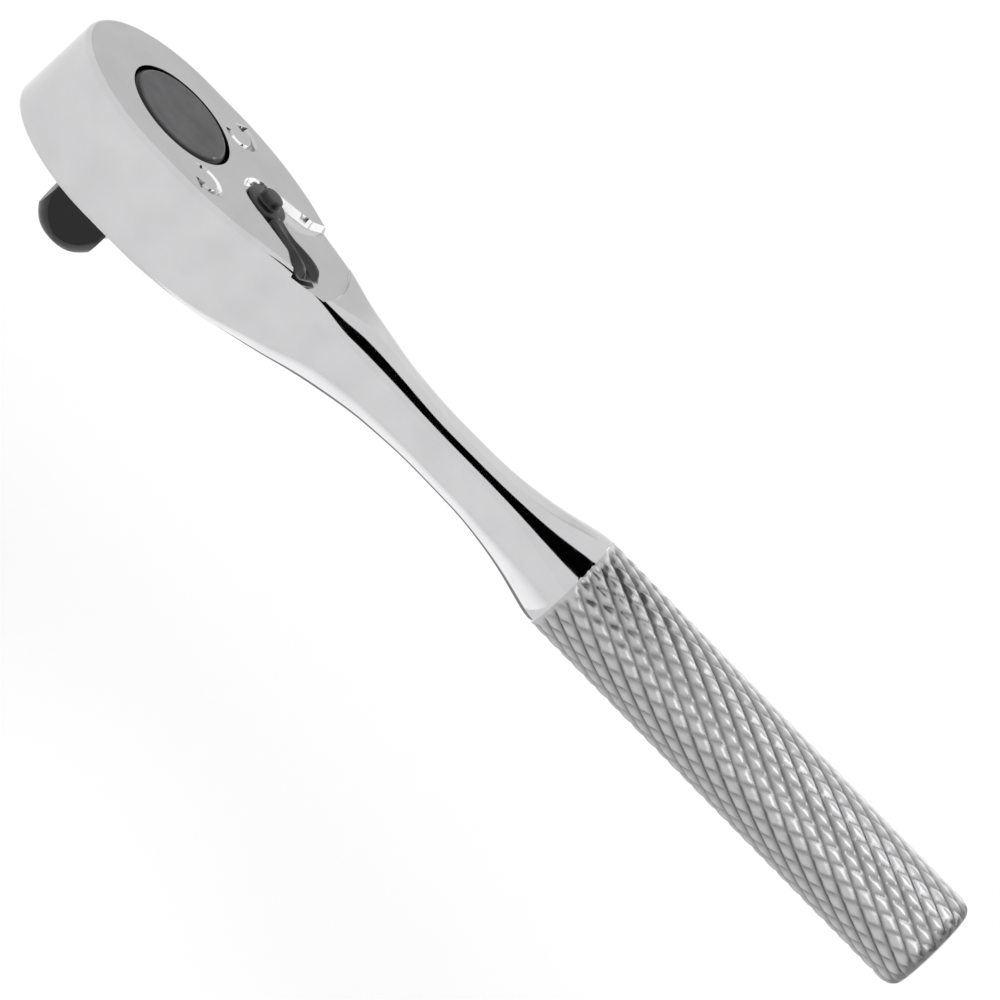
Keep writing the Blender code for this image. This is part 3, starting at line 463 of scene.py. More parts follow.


# Plain chrome, with painted shade in its hollows.
CHROME = steel("polished_chrome", (0.585, 0.578, 0.588), (0.625, 0.617, 0.627), 0.05, 0.11,
               900.0, 0.004 * MM, painted_shade_depth=0.5)
# Much paler copy of the chrome for the recess walls: a painted highlight.
HIGHLIGHT_CHROME = steel("recess_chrome_painted_highlight", (0.9, 0.895, 0.9), (0.96, 0.955, 0.96), 0.08, 0.2,
                      1400.0, 0.02 * MM)
# Knurl chrome darker than the plain chrome, with painted shade darkening its grooves.
KNURL = steel("knurled_chrome_painted_shade", (0.5, 0.495, 0.5), (0.6, 0.595, 0.6), 0.3, 0.42, 2600.0, 0.03 * MM)
paint_groove_shade(KNURL, (0.5, 0.493, 0.5), (0.2, 0.197, 0.2))
DRIVE = steel("drive_steel", (0.085, 0.082, 0.086), (0.12, 0.115, 0.12), 0.28, 0.42, 1500.0, 0.01 * MM,
              wear=(0.32, 0.31, 0.32))
# Painted shade: all below the disc's face goes dark, which draws the dark crescent round the disc.
paint_shade_below(DRIVE, HEAD_TOP + 0.14 * MM, 0.2 * MM, (0.03, 0.029, 0.03))
turned_marks(DRIVE, 0.22 * MM, 0.004 * MM)
LEVER_STEEL = steel("lever_steel", (0.045, 0.044, 0.045), (0.08, 0.078, 0.08), 0.25, 0.4, 1800.0,
                    0.012 * MM, wear=(0.3, 0.295, 0.3))
BLACK = steel("black_oxide", (0.018, 0.0175, 0.018), (0.034, 0.033, 0.035), 0.28, 0.45, 1800.0,
              0.012 * MM)
BRIGHT = steel("ground_steel", (0.42, 0.42, 0.43), (0.56, 0.56, 0.57), 0.18, 0.32, 1200.0, 0.006 * MM,
               stretch=(1.0, 1.0, 6.0))
SPRING = steel("spring_steel", (0.2, 0.2, 0.215), (0.33, 0.33, 0.35), 0.2, 0.35, 2200.0, 0.005 * MM)
RUBBER = steel("black_rubber", (0.012, 0.012, 0.012), (0.026, 0.026, 0.025), 0.55, 0.75, 2600.0,
               0.02 * MM, metallic=0.0)


# ---- forging ------------------------------------------------------------------------------------
def section_table():
    """The sections sampled finely and eased, so that reflections run on without kinks."""
    step = 0.25 * MM
    stations = np.arange(0.0, GRIP_START + 12 * MM, step)
    keys = SECTIONS[:, 0]
    rise = np.diff(SECTIONS[:, 1:], axis=0) / np.diff(keys)[:, None]
    slopes = np.zeros((len(keys), SECTIONS.shape[1] - 1))
    steady = rise[:-1] * rise[1:] > 0
    sums = np.where(steady, rise[:-1] + rise[1:], 1.0)
    slopes[1:-1] = np.where(steady, 2 * rise[:-1] * rise[1:] / sums, 0.0)
    spans = np.clip(np.searchsorted(keys, stations) - 1, 0, len(keys) - 2)
    width = (keys[spans + 1] - keys[spans])[:, None]
    part = np.clip((stations - keys[spans])[:, None] / width, 0.0, 1.0)
    start, end = SECTIONS[spans, 1:], SECTIONS[spans + 1, 1:]
    values = (start + (end - start) * part * part * (3 - 2 * part)
              + slopes[spans] * part * (1 - part) ** 2 * width
              + slopes[spans + 1] * part * part * (part - 1) * width)
    easing = 1.3 * MM
    kernel_reach = int(4.0 * MM / step)
    kernel = np.exp(-0.5 * (np.arange(-kernel_reach, kernel_reach + 1) * step / easing) ** 2)
    kernel /= kernel.sum()
    padded = np.pad(values, ((kernel_reach, kernel_reach), (0, 0)), mode="edge")
    eased = np.stack([np.convolve(column, kernel, mode="valid") for column in padded.T], axis=1)
    return stations, eased


STATIONS, EASED = section_table()


def section(x):
    """Half width, height above and below the middle, and upper and lower edge radius at x."""
    return [float(np.interp(x, STATIONS, column)) for column in EASED.T]


def section_ring(x, half_width, above, below, upper_edge, lower_edge):
    """Closed section from +Y over the top: four rounded corners and the two middles."""
    points = []
    for corner, (side, up) in enumerate(((1, 1), (-1, 1), (-1, -1), (1, -1))):
        half_height, edge = (above, upper_edge) if up > 0 else (below, lower_edge)
        for k in range(CORNER_STEPS + 1):
            turn = math.radians(90.0 * (corner + k / CORNER_STEPS))
            points.append((x, side * (half_width - edge) + edge * math.cos(turn),
                           MIDDLE + up * (half_height - edge) + edge * math.sin(turn)))
        if corner % 2 == 0:
            points.append((x, 0.0, MIDDLE + up * half_height))
    return points


def loft(bm, rings, close=True):
    """Faces between neighbouring rings of points; returns the rings' vertices."""
    grid = [[bm.verts.new(point) for point in ring] for ring in rings]
    count = len(grid[0])
    for one, two in zip(grid, grid[1:]):
        for k in range(count if close else count - 1):
            bm.faces.new((one[k], two[k], two[(k + 1) % count], one[(k + 1) % count]))
    return grid


def head_blank():
    """The head from its front to the split, closed by a flat face at the split."""
    bm = bmesh.new()
    fan = []
    fan_steps = 72
    half_height, edge = HEAD_HALF_HEIGHT, HEAD_EDGE
    for j in range(fan_steps + 1):
        turn = math.radians(90.0 + 180.0 * j / fan_steps)
        reach_x, reach_y = HEAD_FRONT * math.cos(turn), HEAD_HALF_WIDTH * math.sin(turn)
        reach = math.hypot(reach_x, reach_y)
        way_x, way_y = reach_x / reach, reach_y / reach
        ring = [(0.0, 0.0, MIDDLE + half_height)]
        for k in range(2 * CORNER_STEPS + 2):
            upper = k <= CORNER_STEPS
            angle = math.radians(90.0 - 90.0 * (k if upper else k - 1) / CORNER_STEPS)
            out = reach - edge + edge * math.cos(angle)
            height = (half_height - edge) * (1 if upper else -1) + edge * math.sin(angle)
            ring.append((out * way_x, out * way_y, MIDDLE + height))
        ring.append((0.0, 0.0, MIDDLE - half_height))
        fan.append(ring)
    loft(bm, fan, close=False)
    rings = [section_ring(x, *section(x)) for x in np.linspace(0.0, SPLIT_X, 46)]
    grid = loft(bm, rings)
    bm.faces.new(grid[-1])
    bmesh.ops.remove_doubles(bm, verts=bm.verts, dist=HEAD_WELD)
    bmesh.ops.dissolve_degenerate(bm, edges=bm.edges, dist=NO_LENGTH)
    return mesh_object("wrench_body", bm)


def curve_through(points, steps):
    """Smooth curve through points (Catmull-Rom)."""
    p = [np.array(q, float) for q in points]
    p = [2 * p[0] - p[1]] + p + [2 * p[-1] - p[-2]]
    made = []
    for k in range(1, len(p) - 2):
        for j in range(steps):
            t = j / steps
            made.append(tuple(0.5 * (2 * p[k] + (p[k + 1] - p[k - 1]) * t
                                     + (2 * p[k - 1] - 5 * p[k] + 4 * p[k + 1] - p[k + 2]) * t * t
                                     + (3 * p[k] - 3 * p[k + 1] + p[k + 2] - p[k - 1]) * t ** 3)))
    made.append(tuple(p[-2]))
    return made


def recess_outline():
    """The sector that the lever sweeps, open to both flanks of the head."""
    wall = [(LEVER_X + x * MM, y * MM) for x, y in ((4.1, 5.8), (6.3, 6.6), (7.4, 7.8), (9.5, 10.9))]
    flare = HEAD_HALF_WIDTH + 2 * MM
    hub_opening, end_span = 112.0, 26.0
    hub = arc(RECESS_HUB_RADIUS, hub_opening, 360.0 - hub_opening, 40, (LEVER_X, 0.0))
    end = arc(RECESS_END_RADIUS, -end_span, end_span, 40,
              (LEVER_X + RECESS_REACH - RECESS_END_RADIUS, 0.0))
    low = curve_through([hub[-1]] + [(x, -y) for x, y in wall], 8)
    high = curve_through([hub[0]] + wall, 8)
    outline = hub + low[1:] + [(wall[-1][0], -flare), (end[0][0], -flare)] + end
    outline += [(end[-1][0], flare), (wall[-1][0], flare)] + list(reversed(high[1:]))
    return outline


def arrow_outline(side):
    """Generic curved arrow that shows a drive direction; mirrored for the other side."""
    centre = (8.1 * MM, side * 9.9 * MM)
    reach, half_width, head_half, head_turn = 2.35 * MM, 0.5 * MM, 1.25 * MM, 48.0
    start, end = -150.0, 88.0
    outline = arc(reach + half_width, start, end, 36)
    for radius, turn in ((reach + head_half, end), (reach, end + head_turn), (reach - head_half, end)):
        outline += arc(radius, turn, turn, 1)[:1]
    outline += arc(reach - half_width, end, start, 36)
    return [(centre[0] + x, centre[1] + side * y) for x, y in outline]


def bore_cutter():
    """Gear chamber and the bore above it, with a small lead at the rim."""
    bore = TOP_JOURNAL_RADIUS + GAP
    return turned("bore", (
        (0.0, HEAD_TOP + MM),
        (bore + 1.1 * MM, HEAD_TOP + MM),
        (bore + 0.1 * MM, HEAD_TOP),
        (bore + 0.03 * MM, HEAD_TOP - 0.04 * MM),
        (bore, HEAD_TOP - 0.12 * MM),
        (bore, CHAMBER_TOP),
        (CHAMBER_RADIUS, CHAMBER_TOP),
        (CHAMBER_RADIUS, CHAMBER_BOTTOM - MM),
        (0.0, CHAMBER_BOTTOM - MM)), 144)


def node_middle(name):
    low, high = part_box(name)
    return ((low.x + high.x) / 2, (low.y + high.y) / 2)


SCREW_PLACES = [node_middle(name) for name in SCREW_NAMES]


def plate_outline_circles(extra):
    """Circles whose hull is the cover plate's outline, grown by extra."""
    rim, corner, steps = 1.6 * MM, 1.0 * MM, 16
    circles = []
    for k in range(steps + 1):
        turn = math.radians(90.0 + 180.0 * k / steps)
        x, y = (HEAD_FRONT - rim) * math.cos(turn), (HEAD_HALF_WIDTH - rim) * math.sin(turn)
        shrink = 1.0 - corner / math.hypot(x, y)
        circles.append((x * shrink, y * shrink, corner + extra))
    side_x, side_y = SCREW_PLACES[1]
    for side in (-1, 1):
        circles.append((4.0 * MM, side * (HEAD_HALF_WIDTH - rim - corner), corner + extra))
        circles.append((side_x, side * side_y, 3.0 * MM + extra))
    circles.append((LEVER_X, 0.0, POCKET_RADIUS + MM + extra))
    return circles


def make_forging():
    """Chrome head, shank and grip in one piece, with all the hollows that the other pieces need."""
    body = head_blank()
    boolean(body, bore_cutter())
    boolean(body, hull_prism("seat", plate_outline_circles(GAP), HEAD_BOTTOM - MM, CHAMBER_BOTTOM, 32))
    jaw = arc(JAW_REACH, -JAW_SPAN, JAW_SPAN, 24) + arc(GEAR_RADIUS - MM, JAW_SPAN, -JAW_SPAN, 12)
    boolean(body, stacked("jaws", jaw, ((PLATE_LOW.z, 0.0), (CHAMBER_TOP, 0.0))))
    boolean(body, cylinder("pocket", POCKET_RADIUS, PLATE_LOW.z, CHAMBER_TOP, 72, (LEVER_X, 0.0)))
    boolean(body, stacked("recess", recess_outline(), (
        (RECESS_FLOOR, -0.28 * MM), (RECESS_FLOOR + 0.08 * MM, -0.18 * MM),
        (HEAD_TOP - 0.12 * MM, 0.17 * MM), (HEAD_TOP - 0.03 * MM, 0.24 * MM),
        (HEAD_TOP + 0.2 * MM, 0.6 * MM))))
    boolean(body, cylinder("shaft_bore", SHAFT_RADIUS + GAP, CHAMBER_TOP - MM, HEAD_TOP, 64, (LEVER_X, 0.0)))
    hole_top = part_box(SCREW_NAMES[0])[1].z + GAP
    for place in SCREW_PLACES:
        boolean(body, cylinder("hole", SCREW_HOLE_RADIUS, HEAD_BOTTOM, hole_top, 32, place))
    for side in (-1, 1):
        boolean(body, stacked("arrow", arrow_outline(side), (
            (HEAD_TOP - 0.6 * MM, -0.2 * MM), (HEAD_TOP - 0.06 * MM, -0.02 * MM),
            (HEAD_TOP, 0.04 * MM), (HEAD_TOP + MM, 0.3 * MM))))
    join_handle(body)
    smooth(body, 30.0)
    finish_piece(body, "frame", "chrome", CHROME, "body")
    body.data.materials.append(KNURL)
    body.data.materials.append(HIGHLIGHT_CHROME)
    for face in body.data.polygons:
        if GRIP_START + KNURL_MARGIN < face.center.x < GRIP_END - KNURL_MARGIN:
            face.material_index = 1
        # Steep recess walls take the paler chrome: a painted highlight.
        elif is_highlight_wall(face):
            face.material_index = 2


# Steep faces round the lever that carry the painted highlight.
def is_highlight_wall(face):
    x, y, z = face.center
    steep = abs(face.normal.z) < 0.5
    near = abs(x - LEVER_X) < RECESS_WALL_LENGTH and abs(y) < RECESS_WALL_REACH
    outside_shaft = math.hypot(x - LEVER_X, y) > SHAFT_RADIUS + MM
    return steep and near and outside_shaft and RECESS_FLOOR < z < HEAD_TOP


def knurl_relief(x, turn):
    """How far the surface lies below the crests, at a distance along the grip and a turn about it."""
    one = (KNURL_STARTS * turn / (2 * math.pi) + x / KNURL_PITCH) % 1.0
    two = (KNURL_STARTS * turn / (2 * math.pi) - x / KNURL_PITCH) % 1.0
    rise_one, rise_two = 1 - abs(2 * one - 1), 1 - abs(2 * two - 1)
    height = np.minimum(1 - CROSS_DEPTH * (1 - rise_one), rise_two)
    root_width, flank_width, fullness = 0.06, 0.78, 0.6
    height = np.clip((height - root_width) / flank_width, 0.0, 1.0)
    height = height * (1.0 + fullness - fullness * height)
    return KNURL_DEPTH * (1.0 - height)


def grip_ring(x, inward):
    """Section of the grip with its knurl, drawn in by inward at the rounded end."""
    made = []
    for _, across, height in section_ring(x, *section(min(x, GRIP_START + 8 * MM))):
        turn = math.atan2(height - MIDDLE, across)
        reach = math.hypot(across, height - MIDDLE)
        # The cuts run out unevenly towards the shank, and end at the rounded end.
        wander = 0.35 * math.sin(7 * turn) + 0.25 * math.sin(13 * turn + 1.0)
        lead = np.clip((x - GRIP_START - (0.4 + 0.8 * wander) * MM) / (1.3 * MM), 0.0, 1.0)
        fade = lead * lead * (3 - 2 * lead)
        tail = np.clip((GRIP_END - 0.25 * MM - x) / (0.5 * MM), 0.0, 1.0)
        inner = reach - inward - knurl_relief(x, turn) * fade * tail
        made.append((x, inner * math.cos(turn), MIDDLE + inner * math.sin(turn)))
    return made


def join_handle(body):
    """Shank and knurled grip, stitched to the head at the split."""
    bm = bmesh.new()
    bm.from_mesh(body.data)
    lid = [face for face in bm.faces if all(abs(v.co.x - SPLIT_X) < 1e-6 for v in face.verts)]
    bmesh.ops.delete(bm, geom=lid, context="FACES_ONLY")
    knurl_from = GRIP_START - 0.4 * MM
    rings = [section_ring(x, *section(x)) for x in np.linspace(SPLIT_X, knurl_from, 56)[:-1]]
    round_from = GRIP_END - GRIP_END_ROUND
    for x in np.arange(knurl_from, round_from, KNURL_PITCH / KNURL_STEPS):
        rings.append(grip_ring(x, 0.0))
    for turn in np.radians(np.linspace(0, 90, 11)):
        rings.append(grip_ring(round_from + GRIP_END_ROUND * math.sin(turn),
                               GRIP_END_ROUND * (1 - math.cos(turn))))
    grid = loft(bm, rings)
    bm.faces.new(grid[-1])
    bmesh.ops.remove_doubles(bm, verts=bm.verts, dist=SEAM_WELD)
    bmesh.ops.dissolve_degenerate(bm, edges=bm.edges, dist=NO_LENGTH)
    bmesh.ops.recalc_face_normals(bm, faces=bm.faces)
    bm.to_mesh(body.data)
    bm.free()


# ---- cover plate and its screws -----------------------------------------------------------------
def make_cover():
    low, high = PLATE_LOW.z, PLATE_HIGH.z
    plate = hull_prism("cover", plate_outline_circles(0.0), low, high, 64)
    boolean(plate, cylinder("bore", LOW_JOURNAL_RADIUS + GAP, low - MM, high + MM, 96))
    for place in SCREW_PLACES:
        boolean(plate, turned("sink", (
            (0.0, high + MM), (SCREW_HOLE_RADIUS, high + MM), (SCREW_HOLE_RADIUS, low + SCREW_HEAD_HEIGHT),
            (SCREW_SINK_RADIUS, low + 0.2 * MM), (SCREW_SINK_RADIUS, low - MM), (0.0, low - MM)), 48, place))
    soften_edges(plate, 0.15 * MM)
    smooth(plate)
    finish_piece(plate, "frame", "black_oxide", BLACK, "cover_plate")


def make_screw(node_name, place):
    """Countersunk screw, head down, with rings for its thread and a hexagon socket."""
    low, high = (corner.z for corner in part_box(node_name))
    profile = [(0.0, high), (SCREW_RADIUS - 0.3 * MM, high)]
    for k in range(9):
        z = high - 0.3 * MM - k * THREAD_PITCH
        profile += [(SCREW_RADIUS, z), (SCREW_RADIUS - THREAD_DEPTH, z - THREAD_PITCH / 2)]
    profile += [(SCREW_RADIUS, low + SCREW_HEAD_HEIGHT), (SCREW_HEAD_RADIUS, low + 0.2 * MM),
                (SCREW_HEAD_RADIUS - 0.1 * MM, low), (0.0, low)]
    screw = turned("visual_" + node_name, profile, 48, place)
    boolean(screw, cylinder("socket", HEX_RADIUS, low - MM, low + HEX_DEPTH, 6, place))
    smooth(screw, 30.0)
    finish_piece(screw, "frame", "black_oxide", BLACK, node_name)


# ---- gear and drive square ----------------------------------------------------------------------
def make_drive():
    """Toothed gear, its two journals and the drive square in one piece."""
    corners = 2 * TOOTH_COUNT
    chamfer = 0.35 * MM
    bm = bmesh.new()
    rings = []
    for height, trim in ((GEAR_BOTTOM, chamfer), (GEAR_BOTTOM + chamfer, 0.0),
                         (GEAR_TOP - chamfer, 0.0), (GEAR_TOP, chamfer)):
        ring = []
        for k in range(corners):
            turn = 2 * math.pi * k / corners
            radius = GEAR_RADIUS - (TOOTH_DEPTH if k % 2 else trim)
            ring.append((radius * math.cos(turn), radius * math.sin(turn), height))
        rings.append(ring)
    grid = loft(bm, rings)
    bm.faces.new(grid[0])
    bm.faces.new(grid[-1])
    gear = mesh_object("drive", bm)
    top, bottom = GEAR_HIGH.z, HEAD_BOTTOM - 0.2 * MM
    inside = (GEAR_BOTTOM + GEAR_TOP) / 2
    profile = rounded([
        (0.0, top),
        (TOP_JOURNAL_RADIUS - TOP_JOURNAL_BEVEL, top),
        (TOP_JOURNAL_RADIUS, top - TOP_JOURNAL_BEVEL),
        (TOP_JOURNAL_RADIUS, inside),
        (LOW_JOURNAL_RADIUS, inside - MM),
        (LOW_JOURNAL_RADIUS, bottom),
        (0.0, bottom)], 0.25 * MM, 4)
    boolean(gear, turned("core", profile, 144), "UNION")
    boolean(gear, drive_square(), "UNION")
    boolean(gear, cross_bore("ball_hole", BALL_RADIUS + GAP, BALL_HOLE_START, 8.0 * MM, 48, BALL_HEIGHT))
    smooth(gear, 28.0)
    finish_piece(gear, "gear", "drive_steel", DRIVE, "drive_gear")


def drive_square():
    """Square with rounded corners, trimmed by its turned nose."""
    half = SQUARE_HALF - SQUARE_EDGE
    corners = [(sx * half, sy * half, SQUARE_EDGE) for sx in (-1, 1) for sy in (-1, 1)]
    square = hull_prism("square", corners, 0.0, HEAD_BOTTOM + MM, 64)
    reach = SQUARE_HALF * math.sqrt(2) - (math.sqrt(2) - 1) * SQUARE_EDGE
    top = HEAD_BOTTOM + 2 * MM
    profile = [(0.0, top), (reach + MM, top), (reach + MM, NOSE_HEIGHT + 0.9 * MM),
               (reach + 0.05 * MM, NOSE_HEIGHT)]
    steps = 20
    for k in range(1, steps + 1):
        turn = math.radians(90.0 * k / steps)
        outward, drop = math.cos(turn) ** (2 / NOSE_BULGE), math.sin(turn) ** (2 / NOSE_BULGE)
        profile.append((NOSE_END_RADIUS + (reach - NOSE_END_RADIUS) * outward, NOSE_HEIGHT * (1 - drop)))
    profile.append((0.0, 0.0))
    boolean(square, turned("nose", profile, 128), "INTERSECT")
    return square


def make_ball():
    bm = bmesh.new()
    bmesh.ops.create_icosphere(bm, subdivisions=5, radius=BALL_RADIUS)
    bmesh.ops.translate(bm, verts=bm.verts, vec=(node_middle("detent_ball")[0], 0.0, BALL_HEIGHT))
    ball = mesh_object("ball", bm)
    ball.data.shade_smooth()
    finish_piece(ball, "ball", "bright_steel", BRIGHT, "detent_ball")


# ---- reversing lever ----------------------------------------------------------------------------
def lever_section(x, half_width, low, high, ribs):
    """Closed section across the lever: flat below, two ribs with a valley between them above."""
    steps = 28
    rib_place, rib_width = 0.64, 0.22
    points = []
    for k in range(steps + 1):
        across = 1 - 2 * k / steps
        shoulder = max(0.0, 1 - abs(across) ** 6) ** 0.5
        ridge = math.exp(-((abs(across) - rib_place) / rib_width) ** 2)
        height = low + (high - low) * (0.35 + 0.65 * shoulder) + ribs * ridge * shoulder
        points.append((x, half_width * across, height))
    points.append((x, -half_width, low))
    points.append((x, half_width, low))
    return points


LEVER_TAIL = (
    # along, half width, height of the top, rise of the ribs, in millimetres
    (1.5, 1.35, 0.98, 0.0), (3.4, 1.35, 0.98, 0.0), (5.2, 1.30, 0.90, 0.10), (6.9, 1.40, 0.75, 0.40),
    (8.3, 1.70, 0.62, 0.80), (9.8, 2.10, 0.55, 1.05), (11.4, 2.40, 0.50, 1.15), (12.4, 2.50, 0.45, 1.05),
    (12.9, 2.45, 0.38, 0.70), (13.3, 2.20, 0.25, 0.20))


def lever_tail(low):
    """The finger piece, from inside the hub to the tip."""
    keys = np.array(LEVER_TAIL) * MM
    rings = []
    for x in np.linspace(keys[0, 0], keys[-1, 0], 40):
        half_width, height, ribs = (float(np.interp(x, keys[:, 0], keys[:, k])) for k in (1, 2, 3))
        rings.append(lever_section(x, half_width, low, low + height, ribs))
    bm = bmesh.new()
    grid = loft(bm, rings)
    bm.faces.new(grid[0])
    bm.faces.new(grid[-1])
    return mesh_object("tail", bm)


def make_lever():
    """Boss, hub and grooved shaft turned about the lever's axis, the tail, and the plunger's bore."""
    hub_low, top, bottom = RECESS_FLOOR + GAP, LEVER_HIGH.z, LEVER_LOW.z
    hub_top = hub_low + LEVER_HUB_HEIGHT
    ring_z = (RECESS_FLOOR + CHAMBER_TOP) / 2
    ring_low, ring_high = ring_z - O_RING_GROOVE_HALF, ring_z + O_RING_GROOVE_HALF
    clip_low, clip_high = (corner.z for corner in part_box("lever_clip"))
    neck = SHAFT_RADIUS - 0.6 * MM
    groove = SHAFT_RADIUS - 0.8 * MM - GAP
    profile = rounded([
        (0.0, top), (LEVER_BOSS_RADIUS - 0.05 * MM, top), (LEVER_BOSS_RADIUS, hub_top + 0.1 * MM),
        (LEVER_HUB_RADIUS, hub_top), (LEVER_HUB_RADIUS, hub_low)], 0.35 * MM, 6)
    profile += [
        (SHAFT_RADIUS, hub_low), (SHAFT_RADIUS, ring_high), (groove, ring_high),
        (groove, ring_low), (SHAFT_RADIUS, ring_low),
        (SHAFT_RADIUS, clip_high + GAP / 2), (neck, clip_high + GAP / 2),
        (neck, clip_low - GAP / 2), (SHAFT_RADIUS, clip_low - GAP / 2),
        (SHAFT_RADIUS, bottom + SHAFT_CHAMFER), (SHAFT_RADIUS - SHAFT_CHAMFER, bottom), (0.0, bottom)]
    lever = turned("lever", profile, 80)
    boolean(lever, lever_tail(hub_low + 0.1 * MM), "UNION")
    bore_z = (clip_low + CHAMBER_BOTTOM) / 2
    boolean(lever, cross_bore("bore", PLUNGER_BORE_RADIUS, -PLUNGER_BORE_DEPTH, SHAFT_RADIUS + MM,
                              32, bore_z))
    lever.data.transform(Matrix.Translation((LEVER_X, 0.0, 0.0))
                         @ Matrix.Rotation(math.radians(LEVER_REST), 4, "Z"))
    smooth(lever, 32.0)
    finish_piece(lever, "lever", "black_oxide", LEVER_STEEL, "reverse_lever")


# ---- springs and the small pieces that keep their CAD shape -------------------------------------
def make_spring(name, node_name, body, radius, low, high, degrees, place):
    """Round-wire spring with its axis level."""
    turns, steps = 4, 24
    curve = bpy.data.curves.new(name, "CURVE")
    curve.dimensions = "3D"
    curve.bevel_depth = SPRING_WIRE
    curve.bevel_resolution = 4
    curve.use_fill_caps = True
    spline = curve.splines.new("POLY")
    count = turns * steps + 1
    spline.points.add(count - 1)
    start, end = low + SPRING_WIRE + GAP / 2, high - SPRING_WIRE - GAP / 2
    for k in range(count):
        turn = 2 * math.pi * k / steps
        along = start + (end - start) * k / (count - 1)
        spline.points[k].co = (along, radius * math.cos(turn), radius * math.sin(turn), 1.0)
    wound = link(name, curve)
    mesh = evaluated_mesh(wound)
    bpy.data.objects.remove(wound, do_unlink=True)
    way = Matrix.Rotation(math.radians(degrees), 4, "Z")
    mesh.transform(Matrix.Translation(place) @ way)
    spring = link(name, mesh)
    spring.data.shade_smooth()
    finish_piece(spring, body, "spring_steel", SPRING, node_name)
    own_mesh(spring)


def make_springs():
    pawl_low, pawl_high = (corner.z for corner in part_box("pawl"))
    make_spring("lever_spring", "plunger_spring", "lever",
                0.9 * MM - SPRING_WIRE, -PLUNGER_BORE_DEPTH, 0.75 * MM, LEVER_REST,
                (LEVER_X, 0.0, (pawl_low + pawl_high) / 2))
    ball_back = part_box("detent_ball")[0].x
    make_spring("ball_spring", "detent_spring", "gear",
                BALL_RADIUS - 2 * SPRING_WIRE, BALL_HOLE_START, ball_back, 0.0, (0.0, 0.0, BALL_HEIGHT))


def paint_small_nodes():
    """Pieces shown as the CAD makes them, with their own materials."""
    for name, paint in (("friction_washer", SPRING), ("lever_clip", SPRING), ("lever_o_ring", RUBBER),
                        ("pawl", BRIGHT), ("pawl_plunger", BRIGHT)):
        materials = frame["nodes"][name].data.materials
        materials.clear()
        materials.append(paint)


# ---- floor, light and camera --------------------------------------------------------------------
def make_floor():
    """Plain pale floor under the wrench, with room for its soft shadow to spread."""
    floor_z, floor_half = -45.0 * MM, 3.0
    bm = bmesh.new()
    bmesh.ops.create_grid(bm, x_segments=8, y_segments=8, size=floor_half)
    bmesh.ops.translate(bm, verts=bm.verts, vec=(0.0, 0.0, floor_z))
    floor = mesh_object("floor", bm)
    paint, tree, shader = new_material("pale_floor")
    colour = blend_colours(tree, spread(tree, noise(tree, object_place(tree), 3.0), 0.0, 1.0),
                           (0.93, 0.93, 0.93), (0.95, 0.95, 0.95))
    tree.links.new(colour, shader.inputs["Base Color"])
    shader.inputs["Roughness"].default_value = 0.9
    shader.inputs["Emission Color"].default_value = (1.0, 1.0, 1.0, 1.0)
    shader.inputs["Emission Strength"].default_value = 0.09
    floor.data.materials.append(paint)


def make_world():
    world = bpy.data.worlds.new("studio")
    bpy.context.scene.world = world
    world.use_nodes = True
    background = world.node_tree.nodes["Background"]
    background.inputs["Color"].default_value = (1.0, 1.0, 1.0, 1.0)
    background.inputs["Strength"].default_value = 1.0


def make_card(name, corners, brightness, fade=None):
    """Studio card seen only in reflections; fade gives an axis and the two places of a soft end."""
    bm = bmesh.new()
    bm.faces.new([bm.verts.new(corner) for corner in corners])
    card = mesh_object(name, bm)
    paint = bpy.data.materials.new(name)
    paint.use_nodes = True
    tree = paint.node_tree
    tree.nodes.clear()
    place = object_place(tree)
    if fade:
        axis, start, end = fade
        paler = spread(tree, split_axes(tree, place)[axis], 0.0, 1.0, start, end)
    else:
        paler = spread(tree, noise(tree, place, 5.0), 0.0, 0.002)
    glow = tree.nodes.new("ShaderNodeEmission")
    tree.links.new(blend_colours(tree, paler, (brightness,) * 3, (1.0, 1.0, 1.0)), glow.inputs["Color"])
    tree.links.new(glow.outputs[0], tree.nodes.new("ShaderNodeOutputMaterial").inputs["Surface"])
    card.data.materials.append(paint)
    for ray in ("visible_camera", "visible_diffuse", "visible_shadow", "visible_transmission"):
        setattr(card, ray, False)


def strip(x_low, x_high, reach, low, high):
    """Card along the handle, at a reach from it, between two elevations seen from its middle."""
    low, high = math.radians(low), math.radians(high)
    return [(x * MM, -reach * MM * math.cos(turn), MIDDLE + reach * MM * math.sin(turn))
            for x, turn in ((x_low, low), (x_high, low), (x_high, high), (x_low, high))]


def sheet(low, high):
    """Card between two opposite corners in millimetres, which have one coordinate in common."""
    common = [one == two for one, two in zip(low, high)].index(True)
    first, second = (axis for axis in range(3) if axis != common)
    corners = []
    for one, two in ((low, low), (high, low), (high, high), (low, high)):
        corner = list(low)
        corner[first], corner[second] = one[first], two[second]
        corners.append([value * MM for value in corner])
    return corners


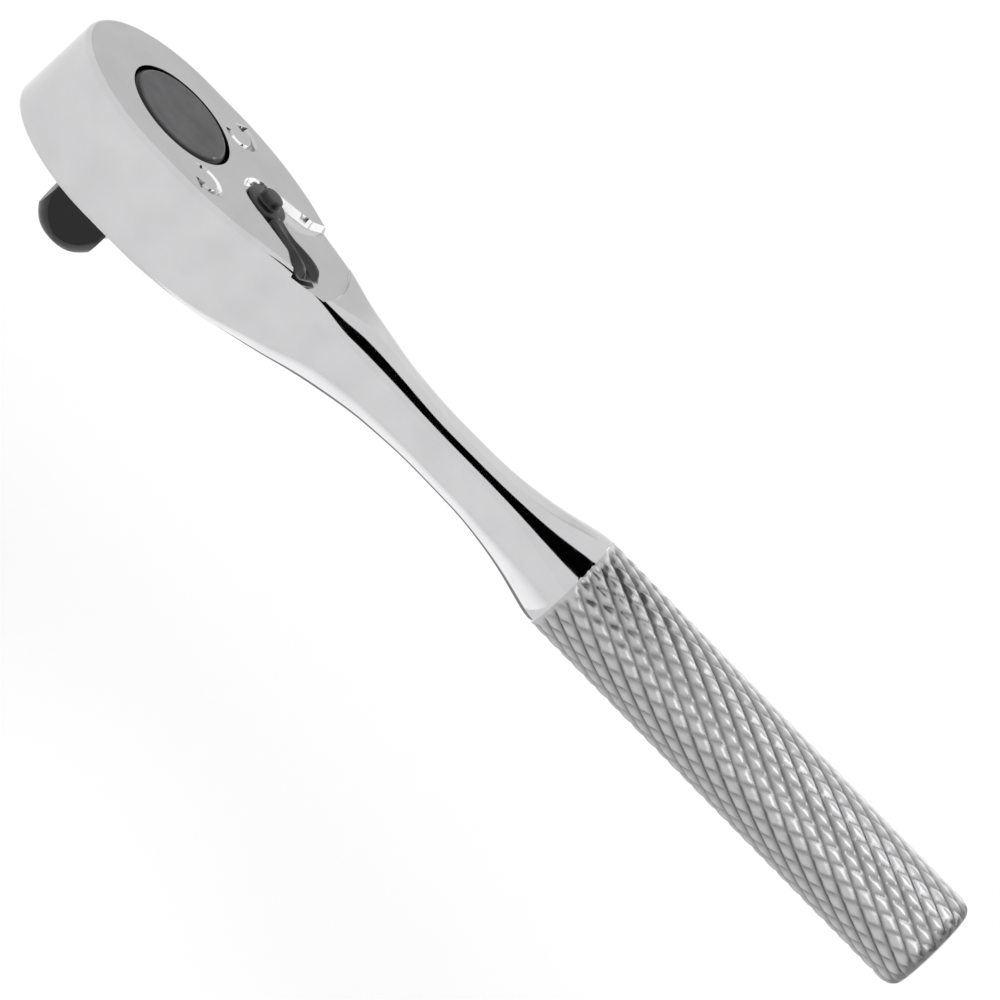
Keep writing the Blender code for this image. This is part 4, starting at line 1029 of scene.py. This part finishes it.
def make_cards():
    # Black strip before and above the shank: the dark stripe along it.
    make_card("stripe_card", strip(46.0, 88.0, 35.0, 35.0, 77.0), 0.0)
    # Grey screen behind the head: the tone of its flat top.
    make_card("head_card", sheet((-60.0, 150.0, 40.0), (70.0, 150.0, 140.0)), 0.78,
              ("X", 45.0 * MM, 62.0 * MM))
    # Dark sheet below the handle: the thin line along its underside.
    make_card("under_card", sheet((34.0, 14.0, -20.0), (84.0, 85.0, -20.0)), 0.3)
    # Bright sheet under the neck: the soft highlight where the head's side turns under.
    make_card("neck_card", sheet((26.0, -48.0, -22.0), (78.0, 13.0, -22.0)), 1.4,
              ("Y", -14.0 * MM, -46.0 * MM))
    # Black sheet beyond the grip: the line on the lip of its end.
    make_card("end_card", sheet((200.0, -45.0, 34.0), (200.0, 0.0, 64.0)), 0.0)
    # Bright strips before and behind the grip: the light on the flanks of the knurl.
    make_card("knurl_lamp", strip(112.0, 195.0, 60.0, 38.0, 62.0), 3.0)
    make_card("back_lamp", strip(91.0, 175.0, 60.0, 112.0, 168.0), 1.8)


def make_camera():
    """Long lens from in front and a little towards the head, rolled so that the handle runs down right."""
    azimuth, elevation, roll = math.radians(-4.3), math.radians(22.3), math.radians(47.2)
    target = Vector((67.9 * MM, 0.0, 19.1 * MM))
    distance, frame_width = 5.0, 136.05 * MM
    view = Vector((math.sin(azimuth) * math.cos(elevation), -math.cos(azimuth) * math.cos(elevation),
                   math.sin(elevation)))
    right = Vector((math.cos(azimuth), math.sin(azimuth), 0.0))
    up = view.cross(right)
    across = right * math.cos(roll) + up * math.sin(roll)
    upright = up * math.cos(roll) - right * math.sin(roll)
    turn = Matrix((across, upright, view)).transposed().to_4x4()
    lens = bpy.data.cameras.new("camera")
    camera = link("camera", lens)
    camera.matrix_world = Matrix.Translation(target + view * distance) @ turn
    lens.sensor_width = 36.0
    lens.lens = lens.sensor_width * distance / frame_width
    lens.clip_start = 0.1
    lens.clip_end = 20.0
    bpy.context.scene.camera = camera


make_forging()
make_cover()
for screw_name, screw_place in zip(SCREW_NAMES, SCREW_PLACES):
    make_screw(screw_name, screw_place)
make_drive()
make_ball()
make_lever()
make_springs()
paint_small_nodes()
make_floor()
make_world()
make_cards()
make_camera()
bpy.context.scene.view_settings.view_transform = "Standard"
